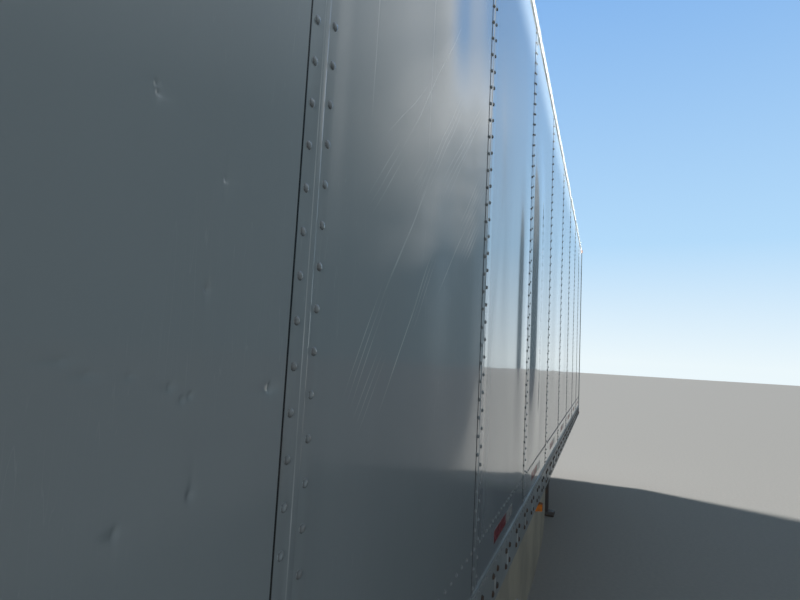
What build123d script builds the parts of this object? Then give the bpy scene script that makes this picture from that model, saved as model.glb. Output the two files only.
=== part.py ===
"""Dry van semi trailer: sheet-and-post body, swing doors, landing legs, side skirts and a sliding tandem.

X points forwards, Y to the road side (left), Z up. Millimetres. The origin is on the ground,
under the middle of the trailer's box.
"""

from build123d import *
import os
from math import cos, radians, sin

os.makedirs("parts", exist_ok=True)

# Body shell
body_length = 16154.0
body_width = 2600.0
roof_crown = 4115.0
roof_camber = 15.0
roof_edge_inset = 22.0
roof_edge_height = 2.0
roof_end_inset = 12.0
rail_bottom = 1110.0
floor_top = 1280.0
floor_thickness = 35.0
wall_thickness = 48.0
corner_radius = 110.0
seat_gap = 0.3

# Side walls and rails
panel_pitch = 1219.2
panel_gap = 0.8
panel_count = 13
rail_skin = 6.0
rail_height = 175.0
rail_ledge = 8.0
rail_lip = 26.0
top_rail_skin = 75.0
top_rail_lap = 20.0
top_rail_flange = 8.0
top_rail_bevel = 14.0
top_rail_reach = 30.0
bow_pitch = 609.6
bow_height = 32.0
bow_width = 50.0
bow_skin = 4.0
bow_foot = 16.0

# Front wall
nose_rail_height = 340.0
nose_panel_count = 2
nose_rail_depth = 90.0

# Floor frame
cross_member_pitch = 304.8
cross_member_depth = 110.0
cross_member_flange = 56.0
cross_member_web = 6.0

# Rear frame and doors
post_width = 78.0
post_depth = 150.0
header_height = 150.0
door_thickness = 32.0
door_edge_gap = 8.0
hinge_setback = 54.0
hinge_knuckle_radius = 13.0
hinge_pin_radius = 6.0
hinge_running_gap = 0.06
hinge_end_gap = 0.5
hinge_strap_height = 90.0
hinge_strap_reach = 290.0
hinge_strap_thickness = 9.0
hinge_end_distance = 190.0
hinge_ear_height = 22.0
hinge_ear_margin = 12.0
hinge_count = 5
hinge_pin_overrun = 1.0
ear_lap_share = 0.85
strap_back_share = 0.7
strap_neck_share = 0.6
strap_seat_share = 0.4
lock_rod_radius = 13.5
lock_rod_stand = 26.0
lock_rod_places = (430.0, 1090.0)
lock_rod_overrun = 45.0
cam_height = 34.0
cam_width = 48.0
cam_depth = 32.0
cam_clearance = 6.0
keeper_depth = 34.0
keeper_width = 92.0
keeper_skin = 12.0
keeper_horn = 22.0
guide_width = 68.0
guide_height = 44.0
guide_stand = 45.0
guide_shares = (0.06, 0.36, 0.64, 0.94)
handle_share = 0.14
handle_length = 300.0
handle_thickness = 14.0
handle_stand = 8.0
handle_grip = 28.0
handle_root_share = 0.8
handle_waist_share = 0.6
catch_width = 34.0
catch_place_share = 0.8
catch_skin = 5.0

# Guard and bumpers
guard_top = 560.0
guard_size = 100.0
guard_half_width = 1130.0
guard_inset = 30.0
guard_post_places = (330.0, 620.0)
guard_post_width = 80.0
guard_post_foot = 80.0
bumper_reach = 80.0
bumper_width = 100.0
bumper_height = 72.0
bumper_margin = 20.0
bumper_rise = 8.0
bumper_bevel = 12.0

# Lamps
lens_length_share = 0.7
lens_radius_share = 0.8
tail_lamp_radius = 50.0
tail_lamp_count = 3
tail_lamp_pitch = 120.0
tail_lamp_margin = 68.0
tail_lamp_rise = 55.0
tail_lamp_recess = 10.0
tail_lamp_reach = 14.0
tail_lamp_rim = 4.0
marker_radius = 20.0
marker_reach = 18.0
marker_drop = 42.0
header_marker_places = (-150.0, 0.0, 150.0)
corner_marker_inset = 120.0
side_marker_length = 96.0
side_marker_height = 34.0
side_marker_reach = 11.0
side_marker_rise = 48.0
side_marker_inset = 110.0
turn_lamp_setback = 6470.0
turn_lamp_drop = 64.0
turn_lamp_reach = 46.0
turn_lamp_height = 46.0

# Coupler, kingpin and nose couplings
kingpin_setback = 914.0
coupler_length = 1560.0
coupler_width = 1180.0
coupler_plate = 10.0
coupler_ramp_rise = 35.0
coupler_ramp_length = 110.0
kingpin_collar_radius = 36.5
kingpin_collar_length = 30.0
kingpin_neck_radius = 25.4
kingpin_neck_length = 35.0
kingpin_head_radius = 35.7
kingpin_head_length = 19.0
nose_reach = 75.0
coupling_rise = 150.0
coupling_plate = 12.0
coupling_plate_width = 660.0
coupling_plate_height = 200.0
socket_radius = 38.0
socket_length = 52.0
air_coupling_offset = 230.0
air_stub_radius = 18.0
air_disc_radius = 34.0
air_disc_length = 34.0

# Landing legs
leg_setback = 2650.0
leg_spread = 985.0
leg_tube = 118.0
leg_inner_tube = 96.0
leg_tube_bottom = 430.0
leg_plate = 12.0
leg_plate_height = 350.0
leg_plate_length = 800.0
leg_plate_edge = 90.0
shaft_height = 905.0
shaft_radius = 16.0
gearbox_length = 140.0
gearbox_width = 70.0
gearbox_above = 90.0
gearbox_below = 120.0
gearbox_slope = 40.0
crank_stub = 36.0
crank_radius = 11.0
crank_arm_length = 290.0
crank_arm_width = 30.0
crank_arm_thickness = 12.0
crank_grip_length = 105.0
brace_size = 44.0
brace_reach = 760.0
brace_foot_height = 560.0
cross_brace_foot_height = 620.0
cross_brace_head_offset = 330.0
cross_brace_thickness = 28.0
cross_brace_offset = 18.0
shoe_size = 255.0
shoe_height = 46.0
shoe_toe_rise = 20.0
shoe_toe_length = 30.0
shoe_skin = 12.0

# Side skirts
skirt_front_setback = 5800.0
skirt_wheel_gap = 60.0
skirt_bottom = 560.0
skirt_thickness = 8.0
skirt_inset = 34.0
skirt_panel_length = 1700.0
skirt_corner_radius = 200.0
skirt_corner_turn = 73.0
skirt_sweep_radius = 2490.0
skirt_strut_pitch = 1300.0
skirt_strut_width = 40.0
skirt_strut_foot = 80.0
skirt_strut_rise = 130.0
skirt_strut_head = 50.0
skirt_strut_reach = 480.0

# Slider rails and tandem frame
tandem_setback = 1880.0
axle_spacing = 1245.0
slider_travel = 2438.4
slide_clearance = 0.5
slide_side_gap = 8.0
slider_half_spread = 500.0
slider_rail_depth = 150.0
slider_rail_skin = 8.0
slider_flange = 52.0
slider_rear_inset = 20.0
slider_overrun = 90.0
tandem_rail_width = 90.0
tandem_rail_height = 150.0
tandem_overhang = 140.0
tandem_tube_width = 90.0
tandem_tube_drop = 20.0
tandem_tube_inset = 60.0
tandem_tube_reach = 330.0
lock_pin_pitch = 152.4
lock_pin_steps = 7
lock_pin_radius = 17.0
lock_pin_clearance = 2.0
lock_pin_stub = 3.0
clip_reach = 380.0
clip_length = 80.0
clip_thickness = 12.0
clip_overhang = 65.0

# Springs, hangers and torque rods
spring_half_length = 530.0
spring_rise = 70.0
spring_leaf = 14.0
spring_width = 76.0
spring_side_gap = 3.0
spring_top_leaf_share = 0.62
saddle_height = 12.0
saddle_length = 150.0
saddle_width = 84.0
hanger_plate = 10.0
hanger_top_length = 150.0
hanger_foot_length = 90.0
hanger_drop = 70.0
centre_hanger_top_length = 220.0
centre_hanger_foot_length = 90.0
equalizer_rise = 75.0
equalizer_pin_radius = 28.0
equalizer_length = 300.0
equalizer_pad = 90.0
equalizer_edge = 24.0
equalizer_crown = 38.0
rod_radius = 16.0
rod_eye_radius = 30.0
rod_eye_width = 60.0
rod_pin_radius = 12.0
rod_drop = 10.0
rod_axle_reach = 115.0
rod_axle_rise = 5.0
rod_lug_skin = 10.0
rod_lug_gap = 2.0
rod_margin = 12.0

# Axles, brakes, tanks and flaps
axle_radius = 63.5
spindle_radius = 40.0
spindle_overrun = 145.0
bearing_gap = 0.08
shield_radius = 195.0
shield_thickness = 12.0
shield_gap = 30.0
chamber_radius = 92.0
chamber_length = 170.0
chamber_inset = 190.0
chamber_reach = 160.0
chamber_arm = 44.0
chamber_arm_height = 60.0
tank_radius = 105.0
tank_length = 660.0
tank_dome = 40.0
flap_width = 600.0
flap_height = 730.0
flap_thickness = 8.0
flap_arm = 40.0
flap_inset = 25.0

# Wheels
tyre_radius = 510.0
tyre_width = 278.0
tyre_shoulder = 44.0
tyre_shoulder_share = 0.93
tyre_tread_share = 0.75
tyre_crown_drop = 5.5
bead_gap = 1.0
bead_seat_radius = 286.0
bead_height = 22.0
rim_skin = 12.0
rim_width = 230.0
rim_flange = 14.0
rim_lip = 7.0
wheel_disc = 11.0
hand_hole_count = 5
hand_hole_radius = 29.0
hand_hole_circle = 190.0
dish_radius = 200.0
dish_back_step = 5.0
dish_skin_step = 4.0
dual_spacing = 343.0
wheel_track = 1969.0
pilot_radius = 110.0
pilot_gap = 1.0
drum_radius = 225.0
drum_width = 188.0
drum_skin = 17.0
hub_radius = 80.0
hub_cap_radius = 74.0
hub_cap_length = 30.0
hub_back_setback = 70.0
hub_flange_radius = 150.0
hub_flange_depth = 30.0
drum_web_depth = 12.0
drum_web_radius = 180.0
drum_inner_length = 150.0
drum_outer_length = 145.0
pilot_length = 8.0
hub_step = 4.0
hub_cap_seat = 8.0
hub_cap_skin = 10.0

# Places worked out from the sizes above
overall_length = nose_reach + body_length + bumper_reach
front_x = overall_length / 2 - nose_reach
rear_x = front_x - body_length
half_width = body_width / 2
panel_outer = half_width - rail_skin
panel_inner = panel_outer - wall_thickness
rail_top = rail_bottom + rail_height
floor_underside = floor_top - floor_thickness
wall_foot = floor_underside + rail_ledge
top_rail_top = roof_crown - roof_camber
top_rail_foot = top_rail_top - top_rail_skin
wall_top = top_rail_foot + top_rail_lap
cross_member_bottom = floor_underside - cross_member_depth
wall_front_x = front_x - corner_radius
wall_rear_x = rear_x + post_depth
header_bottom = top_rail_top - header_height
nose_half_width = half_width - corner_radius
frame_inner = half_width - post_width
hinge_pin_x = rear_x - hinge_setback
hinge_pin_y = half_width
tandem_x = rear_x + tandem_setback
front_axle_x = tandem_x + axle_spacing / 2
rear_axle_x = tandem_x - axle_spacing / 2
axle_z = tyre_radius


def block(x0, x1, y0, y1, z0, z1):
    """A rectangular block between two corners."""
    size = Box(abs(x1 - x0), abs(y1 - y0), abs(z1 - z0))
    return Pos((x0 + x1) / 2, (y0 + y1) / 2, (z0 + z1) / 2) * size


def outline_face(plane, points):
    """A flat face with straight edges, drawn on a plane."""
    return plane * make_face(Polyline(*points, close=True))


def along_x(points, x0, x1):
    """A section drawn as (y, z) points, drawn out from x0 to x1."""
    plane = Plane(origin=(x0, 0, 0), x_dir=(0, 1, 0), z_dir=(1, 0, 0))
    return extrude(outline_face(plane, points), x1 - x0)


def side_plane(y):
    """The upright plane at y that side outlines are drawn on as (x, z), facing the curb side."""
    return Plane(origin=(0, y, 0), x_dir=(1, 0, 0), z_dir=(0, -1, 0))


def along_y(points, y0, y1):
    """A side outline drawn as (x, z) points, drawn out from y0 to y1."""
    return extrude(outline_face(side_plane(y1), points), y1 - y0)


def along_z(points, z0, z1):
    """A plan outline drawn as (x, y) points, drawn up from z0 to z1."""
    return extrude(outline_face(Plane.XY.offset(z0), points), z1 - z0)


def round_bar(start, end, radius):
    """A round bar between two points."""
    line = Vector(*end) - Vector(*start)
    plane = Plane(origin=start, z_dir=line)
    return extrude(plane * Circle(radius), line.length)


def cross_bar(x, z, y0, y1, radius):
    """A round bar lying across the trailer from y0 to y1."""
    return round_bar((x, y0, z), (x, y1, z), radius)


def mirrored(shape):
    """The same piece on the other side of the trailer."""
    return mirror(shape, about=Plane.XZ)


def save(name, *pieces):
    """Write one node, every solid in the pieces that it is made of."""
    solids = [solid for piece in pieces for solid in piece.solids()]
    export_step(Compound(solids), f"parts/{name}.step")


def save_pair(name, *pieces):
    """Write one node that holds the pieces of the left side and the same ones on the right."""
    save(name, *pieces, *[mirrored(piece) for piece in pieces])


# Floor: rolled I-beams under laminated boards
def cross_member(x):
    """One I-beam lying across the trailer between the bottom rails."""
    half_flange = cross_member_flange / 2
    half_web = cross_member_web / 2
    skin = cross_member_web
    low = cross_member_bottom
    high = floor_underside
    points = [
        (x - half_flange, low),
        (x + half_flange, low),
        (x + half_flange, low + skin),
        (x + half_web, low + skin),
        (x + half_web, high - skin),
        (x + half_flange, high - skin),
        (x + half_flange, high),
        (x - half_flange, high),
        (x - half_flange, high - skin),
        (x - half_web, high - skin),
        (x - half_web, low + skin),
        (x - half_flange, low + skin),
    ]
    return along_y(points, -panel_outer, panel_outer)


floor_front_x = front_x - wall_thickness
cross_member_count = int((body_length - post_depth - nose_rail_depth) / cross_member_pitch)
cross_member_places = [
    rear_x + post_depth + cross_member_pitch * (number + 0.5) for number in range(cross_member_count)
]
save("cross_members", *[cross_member(x) for x in cross_member_places])
floor_plan = [
    (wall_rear_x, -panel_inner),
    (wall_front_x, -panel_inner),
    (floor_front_x, -nose_half_width),
    (floor_front_x, nose_half_width),
    (wall_front_x, panel_inner),
    (wall_rear_x, panel_inner),
]
save("floor_boards", along_z(floor_plan, floor_underside, floor_top))


# Bottom rails: one extrusion a side, with a ledge that carries the wall and a lip at its foot
def bottom_rail():
    """The left rail, with its ledge on the cross members' ends."""
    points = [
        (half_width, rail_bottom),
        (half_width, rail_top),
        (panel_outer, rail_top),
        (panel_outer, wall_foot),
        (panel_inner + seat_gap, wall_foot),
        (panel_inner + seat_gap, floor_underside),
        (panel_outer, floor_underside),
        (panel_outer, rail_bottom + rail_skin),
        (panel_outer - rail_lip, rail_bottom + rail_skin),
        (panel_outer - rail_lip, rail_bottom),
    ]
    return along_x(points, wall_rear_x, wall_front_x)


save_pair("bottom_rails", bottom_rail())


# Side walls: riveted sheets on posts, lined inside
def side_panels():
    """The left wall's panels, from the front corner back, each as thick as the wall."""
    panels = []
    panel_front = wall_front_x
    for number in range(panel_count):
        last = number == panel_count - 1
        panel_back = wall_rear_x if last else max(panel_front - panel_pitch, wall_rear_x)
        panels.append(
            block(panel_back + panel_gap, panel_front, panel_inner, panel_outer, wall_foot, wall_top)
        )
        panel_front = panel_back
    return panels


save_pair("side_panels", *side_panels())


# Top rails and roof
def top_rail():
    """The left top rail: a skin that laps over the wall, and a flange that the roof is riveted to."""
    inner_flange = panel_inner - top_rail_reach
    points = [
        (half_width, top_rail_foot),
        (half_width, top_rail_top - top_rail_bevel),
        (half_width - top_rail_bevel, top_rail_top),
        (inner_flange, top_rail_top),
        (inner_flange, top_rail_top - top_rail_flange),
        (panel_inner, top_rail_top - top_rail_flange),
        (panel_inner, wall_top),
        (panel_outer, wall_top),
        (panel_outer, top_rail_foot),
    ]
    return along_x(points, wall_rear_x, wall_front_x)


save_pair("top_rails", top_rail())

roof_edge = half_width - roof_edge_inset
roof_side = top_rail_top + roof_edge_height
roof_section = [
    Line((-roof_edge, top_rail_top), (roof_edge, top_rail_top)),
    Line((roof_edge, top_rail_top), (roof_edge, roof_side)),
    ThreePointArc((roof_edge, roof_side), (0, roof_crown), (-roof_edge, roof_side)),
    Line((-roof_edge, roof_side), (-roof_edge, top_rail_top)),
]
roof_plane = Plane(origin=(rear_x + roof_end_inset, 0, 0), x_dir=(0, 1, 0), z_dir=(1, 0, 0))
roof_blank = extrude(roof_plane * make_face(roof_section), body_length - 2 * roof_end_inset)
roof_plan = [
    (rear_x, -half_width),
    (rear_x, half_width),
    (wall_front_x, half_width),
    (front_x, nose_half_width),
    (front_x, -nose_half_width),
    (wall_front_x, -half_width),
]
save("roof_sheet", roof_blank & along_z(roof_plan, top_rail_top, roof_crown))


# Roof bows: folded hat sections that hang between the top rails' flanges
def roof_bow(x):
    """One bow across the trailer at x, open upwards, with a foot along each edge."""
    low = top_rail_top - bow_height
    half = bow_width / 2
    points = [
        (x - half - bow_foot, top_rail_top),
        (x - half - bow_foot, top_rail_top - bow_skin),
        (x - half, top_rail_top - bow_skin),
        (x - half, low),
        (x + half, low),
        (x + half, top_rail_top - bow_skin),
        (x + half + bow_foot, top_rail_top - bow_skin),
        (x + half + bow_foot, top_rail_top),
        (x + half - bow_skin, top_rail_top),
        (x + half - bow_skin, low + bow_skin),
        (x - half + bow_skin, low + bow_skin),
        (x - half + bow_skin, top_rail_top),
    ]
    reach = panel_inner - top_rail_reach - seat_gap
    return along_y(points, -reach, reach)


bow_count = int((body_length - post_depth - bow_pitch) / bow_pitch)
save("roof_bows", *[roof_bow(wall_rear_x + bow_pitch * (number + 1)) for number in range(bow_count)])


# Front wall with its rounded corner posts
def corner_post():
    """The front left corner post: a quarter-round extrusion with a flange back along the wall."""
    outer = corner_radius
    with BuildSketch(Plane.XY.offset(rail_bottom)) as sketch:
        with BuildLine():
            Line((wall_front_x, half_width), (wall_front_x, half_width - wall_thickness - rail_skin))
            Line(
                (wall_front_x, half_width - wall_thickness - rail_skin),
                (front_x - wall_thickness, half_width - outer),
            )
            Line((front_x - wall_thickness, half_width - outer), (front_x, half_width - outer))
            RadiusArc((front_x, half_width - outer), (wall_front_x, half_width), -outer)
        make_face()
    return extrude(sketch.sketch, top_rail_top - rail_bottom)


save_pair("front_corner_posts", corner_post())

nose_panel_width = 2 * nose_half_width / nose_panel_count
nose_panels = []
for number in range(nose_panel_count):
    panel_right = -nose_half_width + nose_panel_width * number
    nose_panels.append(
        block(
            front_x - wall_thickness,
            front_x - rail_skin,
            panel_right + panel_gap / 2,
            panel_right + nose_panel_width - panel_gap / 2,
            floor_underside,
            wall_top,
        )
    )
save("nose_panels", *nose_panels)
nose_rail_bottom = cross_member_bottom + coupler_ramp_rise
nose_rail_top = rail_bottom + nose_rail_height
nose_rail_section = [
    (front_x, nose_rail_bottom),
    (front_x, nose_rail_top),
    (front_x - rail_skin, nose_rail_top),
    (front_x - rail_skin, floor_underside),
    (front_x - nose_rail_depth, floor_underside),
    (front_x - nose_rail_depth, nose_rail_bottom),
]
nose_top_section = [
    (front_x, top_rail_foot),
    (front_x, top_rail_top),
    (front_x - wall_thickness, top_rail_top),
    (front_x - wall_thickness, wall_top),
    (front_x - rail_skin, wall_top),
    (front_x - rail_skin, top_rail_foot),
]
nose_rails = [
    along_y(section, -nose_half_width, nose_half_width) for section in (nose_rail_section, nose_top_section)
]
save("nose_rails", *nose_rails)

# Rear frame: two posts, a header and a sill around the doorway, with the keepers for the cams
cam_low = floor_top - lock_rod_overrun
cam_high = header_bottom + lock_rod_overrun
tail_lamp_z = rail_bottom + tail_lamp_rise
tail_recess_radius = tail_lamp_radius + tail_lamp_rim
bumper_outer = frame_inner - bumper_margin
bumper_inner = bumper_outer - bumper_width
outer_tail_lamp_y = bumper_inner - tail_lamp_margin - tail_recess_radius
inner_tail_lamp_y = outer_tail_lamp_y - tail_lamp_pitch * (tail_lamp_count - 1)
tail_lamp_places = [inner_tail_lamp_y + tail_lamp_pitch * number for number in range(tail_lamp_count)]


def cam_keeper(offset, ledge_z, horn_z):
    """A ledge by one cam of a left lock rod, with a horn on each side of the cam."""
    y = hinge_pin_y - offset
    half = keeper_width / 2
    back = rear_x - keeper_depth
    keeper = block(back, rear_x, y - half, y + half, *sorted((ledge_z, horn_z)))
    pocket_half = half - keeper_skin
    inner_z = ledge_z + (keeper_skin if horn_z > ledge_z else -keeper_skin)
    return keeper - block(back, rear_x, y - pocket_half, y + pocket_half, *sorted((inner_z, horn_z)))


def cam_keepers(offset):
    """The keeper below the lower cam and the one above the upper cam of one left lock rod."""
    low = cam_low - cam_clearance - keeper_skin
    high = cam_high + cam_clearance + keeper_skin
    span = keeper_skin + keeper_horn
    return cam_keeper(offset, low, low + span) + cam_keeper(offset, high, high - span)


left_post = block(rear_x, wall_rear_x, frame_inner, half_width, rail_bottom, top_rail_top)
header = block(rear_x, wall_rear_x, -frame_inner, frame_inner, header_bottom, top_rail_top)
sill = block(rear_x, wall_rear_x, -frame_inner, frame_inner, rail_bottom, floor_top)
rear_frame = left_post + mirrored(left_post) + header + sill
for offset in lock_rod_places:
    rear_frame += cam_keepers(offset) + mirrored(cam_keepers(offset))
for offset in tail_lamp_places:
    for y in (-offset, offset):
        rear_frame -= round_bar(
            (rear_x, y, tail_lamp_z), (rear_x + tail_lamp_recess, y, tail_lamp_z), tail_recess_radius
        )
save("rear_frame", rear_frame)

# Door hinges, one row up each post
door_bottom = floor_top + door_edge_gap
door_top = header_bottom - door_edge_gap
door_edge = frame_inner - door_edge_gap
hinge_span = door_top - door_bottom - 2 * hinge_end_distance
hinge_step = hinge_span / (hinge_count - 1)
hinge_heights = [door_bottom + hinge_end_distance + hinge_step * number for number in range(hinge_count)]


def at_pin(radius, z_low, z_high):
    """A round piece on the left hinge line between two heights."""
    return Pos(hinge_pin_x, hinge_pin_y, (z_low + z_high) / 2) * Cylinder(radius, z_high - z_low)


def hinge_bracket(z):
    """The fixed part of one left hinge: two ears welded to the post and the pin between them."""
    strap_half = hinge_strap_height / 2 + hinge_end_gap
    ear_plan = [
        (hinge_pin_x - hinge_knuckle_radius / 2, hinge_pin_y - hinge_knuckle_radius * ear_lap_share),
        (rear_x, frame_inner + hinge_ear_margin),
        (rear_x, hinge_pin_y),
        (hinge_pin_x, hinge_pin_y + hinge_knuckle_radius),
    ]
    reach = strap_half + hinge_ear_height
    pin_reach = strap_half + hinge_ear_height - hinge_pin_overrun
    bracket = at_pin(hinge_pin_radius, z - pin_reach, z + pin_reach)
    for low in (z - reach, z + strap_half):
        bracket += along_z(ear_plan, low, low + hinge_ear_height)
        bracket += at_pin(hinge_knuckle_radius, low, low + hinge_ear_height)
    return bracket


def hinge_strap(z):
    """The turning part of one left hinge: a knuckle on the pin and a strap over the door's face."""
    low = z - hinge_strap_height / 2
    high = z + hinge_strap_height / 2
    strap_end = hinge_pin_y - hinge_strap_reach
    neck_y = hinge_pin_y - hinge_knuckle_radius * strap_neck_share
    seat_y = hinge_pin_y - hinge_knuckle_radius * strap_seat_share
    strap_plan = [
        (hinge_pin_x - hinge_knuckle_radius * strap_back_share, neck_y),
        (hinge_pin_x + hinge_knuckle_radius * strap_neck_share, seat_y),
        (rear_x, door_edge - door_edge_gap / 4),
        (rear_x, strap_end),
        (rear_x - hinge_strap_thickness, strap_end),
        (rear_x - hinge_strap_thickness, door_edge - hinge_strap_thickness),
    ]
    strap = along_z(strap_plan, low, high) + at_pin(hinge_knuckle_radius, low, high)
    return strap - at_pin(hinge_pin_radius + hinge_running_gap, low, high)


save_pair("hinge_brackets", *[hinge_bracket(z) for z in hinge_heights])
straps = Compound([hinge_strap(z) for z in hinge_heights])
save("left_door_hinges", straps)
save("right_door_hinges", mirrored(straps))

# Doors: one thick panel a side, with two lock rods that end in cams
door_panel = block(rear_x, rear_x + door_thickness, door_edge_gap / 2, door_edge, door_bottom, door_top)
save("left_door_panel", door_panel)
save("right_door_panel", mirrored(door_panel))
rod_x = rear_x - lock_rod_stand
handle_z = door_bottom + handle_share * (door_top - door_bottom)
handle_back = rear_x - handle_stand
handle_face = handle_back - handle_thickness


def cam(y, z0, z1):
    """One cam: a six-sided block whose two lugs turn into the keeper."""
    half_width_y = cam_width / 2
    half_depth = cam_depth / 2
    plan = [
        (rod_x - half_depth, y - half_width_y / 2),
        (rod_x, y - half_width_y),
        (rod_x + half_depth, y - half_width_y / 2),
        (rod_x + half_depth, y + half_width_y / 2),
        (rod_x, y + half_width_y),
        (rod_x - half_depth, y + half_width_y / 2),
    ]
    return along_z(plan, z0, z1)


def lock_rod(offset):
    """One left lock rod, inboard of the hinge pins by offset, with its cams and its handle."""
    y = hinge_pin_y - offset
    rod = Pos(rod_x, y, (cam_low + cam_high) / 2) * Cylinder(lock_rod_radius, cam_high - cam_low)
    rod += cam(y, cam_low, cam_low + cam_height) + cam(y, cam_high - cam_height, cam_high)
    hub_radius_here = lock_rod_radius + catch_skin
    rod += Pos(rod_x, y, handle_z) * Cylinder(hub_radius_here, 2 * handle_grip)
    lever = [
        (y, handle_z + handle_grip * handle_root_share),
        (y, handle_z - handle_grip * handle_root_share),
        (y + handle_length * handle_waist_share, handle_z - handle_grip / 2),
        (y + handle_length, handle_z - handle_grip / 2),
        (y + handle_length, handle_z + handle_grip / 2),
        (y + handle_length * handle_waist_share, handle_z + handle_grip / 2),
    ]
    return rod + along_x(lever, handle_face, handle_back)


def rod_guides(offset):
    """The bearings that hold one left lock rod on the door, and the catch that its handle lies in."""
    y = hinge_pin_y - offset
    half = guide_width / 2
    guides = []
    for share in guide_shares:
        z = door_bottom + (door_top - door_bottom) * share
        plan = [
            (rear_x, y - half),
            (rear_x, y + half),
            (rear_x - catch_skin, y + half),
            (rear_x - guide_stand, y + half / 2),
            (rear_x - guide_stand, y - half / 2),
            (rear_x - catch_skin, y - half),
        ]
        guide = along_z(plan, z - guide_height / 2, z + guide_height / 2)
        guides.append(guide - Pos(rod_x, y, z) * Cylinder(lock_rod_radius + seat_gap, guide_height))
    catch_y = y + handle_length * catch_place_share
    grip_half = handle_grip / 2 + seat_gap
    catch = block(
        handle_face - catch_skin,
        rear_x,
        catch_y - catch_width / 2,
        catch_y + catch_width / 2,
        handle_z - grip_half - catch_skin,
        handle_z + grip_half,
    )
    catch -= block(
        handle_face - seat_gap,
        handle_back + seat_gap,
        catch_y - catch_width / 2,
        catch_y + catch_width / 2,
        handle_z - grip_half,
        handle_z + grip_half,
    )
    return guides + [catch]


for name, make in (("lock_rods", lambda offset: [lock_rod(offset)]), ("rod_guides", rod_guides)):
    pieces = [piece for offset in lock_rod_places for piece in make(offset)]
    save(f"left_{name}", *pieces)
    save(f"right_{name}", *[mirrored(piece) for piece in pieces])

# Guard below the sill, on posts that widen upwards, and the bumpers beside the doorway
guard_front_x = rear_x + guard_inset + guard_size
guard_low = guard_top - guard_size
guard = block(rear_x + guard_inset, guard_front_x, -guard_half_width, guard_half_width, guard_low, guard_top)
guard_post_side = [
    (rear_x + guard_inset, guard_top),
    (rear_x + guard_inset + guard_post_foot, guard_top),
    (wall_rear_x, rail_bottom),
    (rear_x + guard_inset / 2, rail_bottom),
]
for offset in guard_post_places:
    for y in (-offset, offset):
        guard += along_y(guard_post_side, y - guard_post_width / 2, y + guard_post_width / 2)
save("rear_guard", guard)
bumper_back = rear_x - bumper_reach
bumper_low = rail_bottom + bumper_rise
bumper_plan = [
    (rear_x, bumper_inner),
    (rear_x, bumper_outer),
    (bumper_back + bumper_bevel, bumper_outer),
    (bumper_back, bumper_outer - bumper_bevel),
    (bumper_back, bumper_inner + bumper_bevel),
    (bumper_back + bumper_bevel, bumper_inner),
]
save_pair("dock_bumpers", along_z(bumper_plan, bumper_low, bumper_low + bumper_height))


# Lamps: round ones let into the sill, small round markers, and oblong ones along the sides
def round_lamp(foot, y, z, tip, radius):
    """A round lamp from its foot to its tip along X, with a stepped lens."""
    step = foot + (tip - foot) * lens_length_share
    lens_radius = radius * lens_radius_share
    return round_bar((foot, y, z), (step, y, z), radius) + round_bar((step, y, z), (tip, y, z), lens_radius)


def side_lamp(x, face_y, reach, z, height):
    """An oblong lamp on a left side face at face_y, narrower towards its lens."""
    half = side_marker_length / 2
    plan = [
        (x - half, face_y),
        (x + half, face_y),
        (x + half - reach / 2, face_y + reach),
        (x - half + reach / 2, face_y + reach),
    ]
    return along_z(plan, z - height / 2, z + height / 2)


marker_z = top_rail_top - marker_drop
side_marker_low_z = rail_bottom + side_marker_rise
red_lamps = [
    round_lamp(rear_x + tail_lamp_recess, y, tail_lamp_z, rear_x - tail_lamp_reach, tail_lamp_radius)
    for offset in tail_lamp_places
    for y in (-offset, offset)
]
marker_tip = rear_x - marker_reach
red_lamps += [round_lamp(rear_x, y, marker_z, marker_tip, marker_radius) for y in header_marker_places]
rear_marker_x = rear_x + post_depth / 2
for z in (side_marker_low_z, marker_z):
    lamp = side_lamp(rear_marker_x, half_width, side_marker_reach, z, side_marker_height)
    red_lamps += [lamp, mirrored(lamp)]
save("red_lamps", *red_lamps)

skirt_outer = half_width - skirt_inset
front_marker_x = wall_front_x - side_marker_inset
amber_left = [
    side_lamp(front_marker_x, half_width, side_marker_reach, z, side_marker_height)
    for z in (side_marker_low_z, marker_z)
]
turn_lamp_x = front_x - turn_lamp_setback
turn_lamp_z = rail_bottom - turn_lamp_drop
amber_left.append(side_lamp(turn_lamp_x, skirt_outer, turn_lamp_reach, turn_lamp_z, turn_lamp_height))
corner_marker_y = nose_half_width - corner_marker_inset
amber_left.append(round_lamp(front_x, corner_marker_y, marker_z, front_x + marker_reach, marker_radius))
save_pair("amber_lamps", *amber_left)

# Coupler plate under the front, bent up to the nose rail, with the kingpin
coupler_underside = cross_member_bottom - coupler_plate
ramp_foot_x = front_x - nose_rail_depth - coupler_ramp_length
ramp_head_x = front_x - nose_rail_depth
coupler_section = [
    (front_x - coupler_length, coupler_underside),
    (ramp_foot_x, coupler_underside),
    (ramp_head_x, coupler_underside + coupler_ramp_rise),
    (front_x, coupler_underside + coupler_ramp_rise),
    (front_x, cross_member_bottom + coupler_ramp_rise),
    (ramp_head_x, cross_member_bottom + coupler_ramp_rise),
    (ramp_foot_x, cross_member_bottom),
    (front_x - coupler_length, cross_member_bottom),
]
coupler = along_y(coupler_section, -coupler_width / 2, coupler_width / 2)
kingpin_x = front_x - kingpin_setback
kingpin_hole = Cylinder(kingpin_collar_radius + seat_gap, 2 * coupler_plate)
save("coupler_plate", coupler - Pos(kingpin_x, 0, cross_member_bottom - coupler_plate / 2) * kingpin_hole)
kingpin_parts = (
    (kingpin_collar_radius, coupler_plate + kingpin_collar_length),
    (kingpin_neck_radius, kingpin_neck_length),
    (kingpin_head_radius, kingpin_head_length),
)
part_top = cross_member_bottom
kingpin = None
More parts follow.
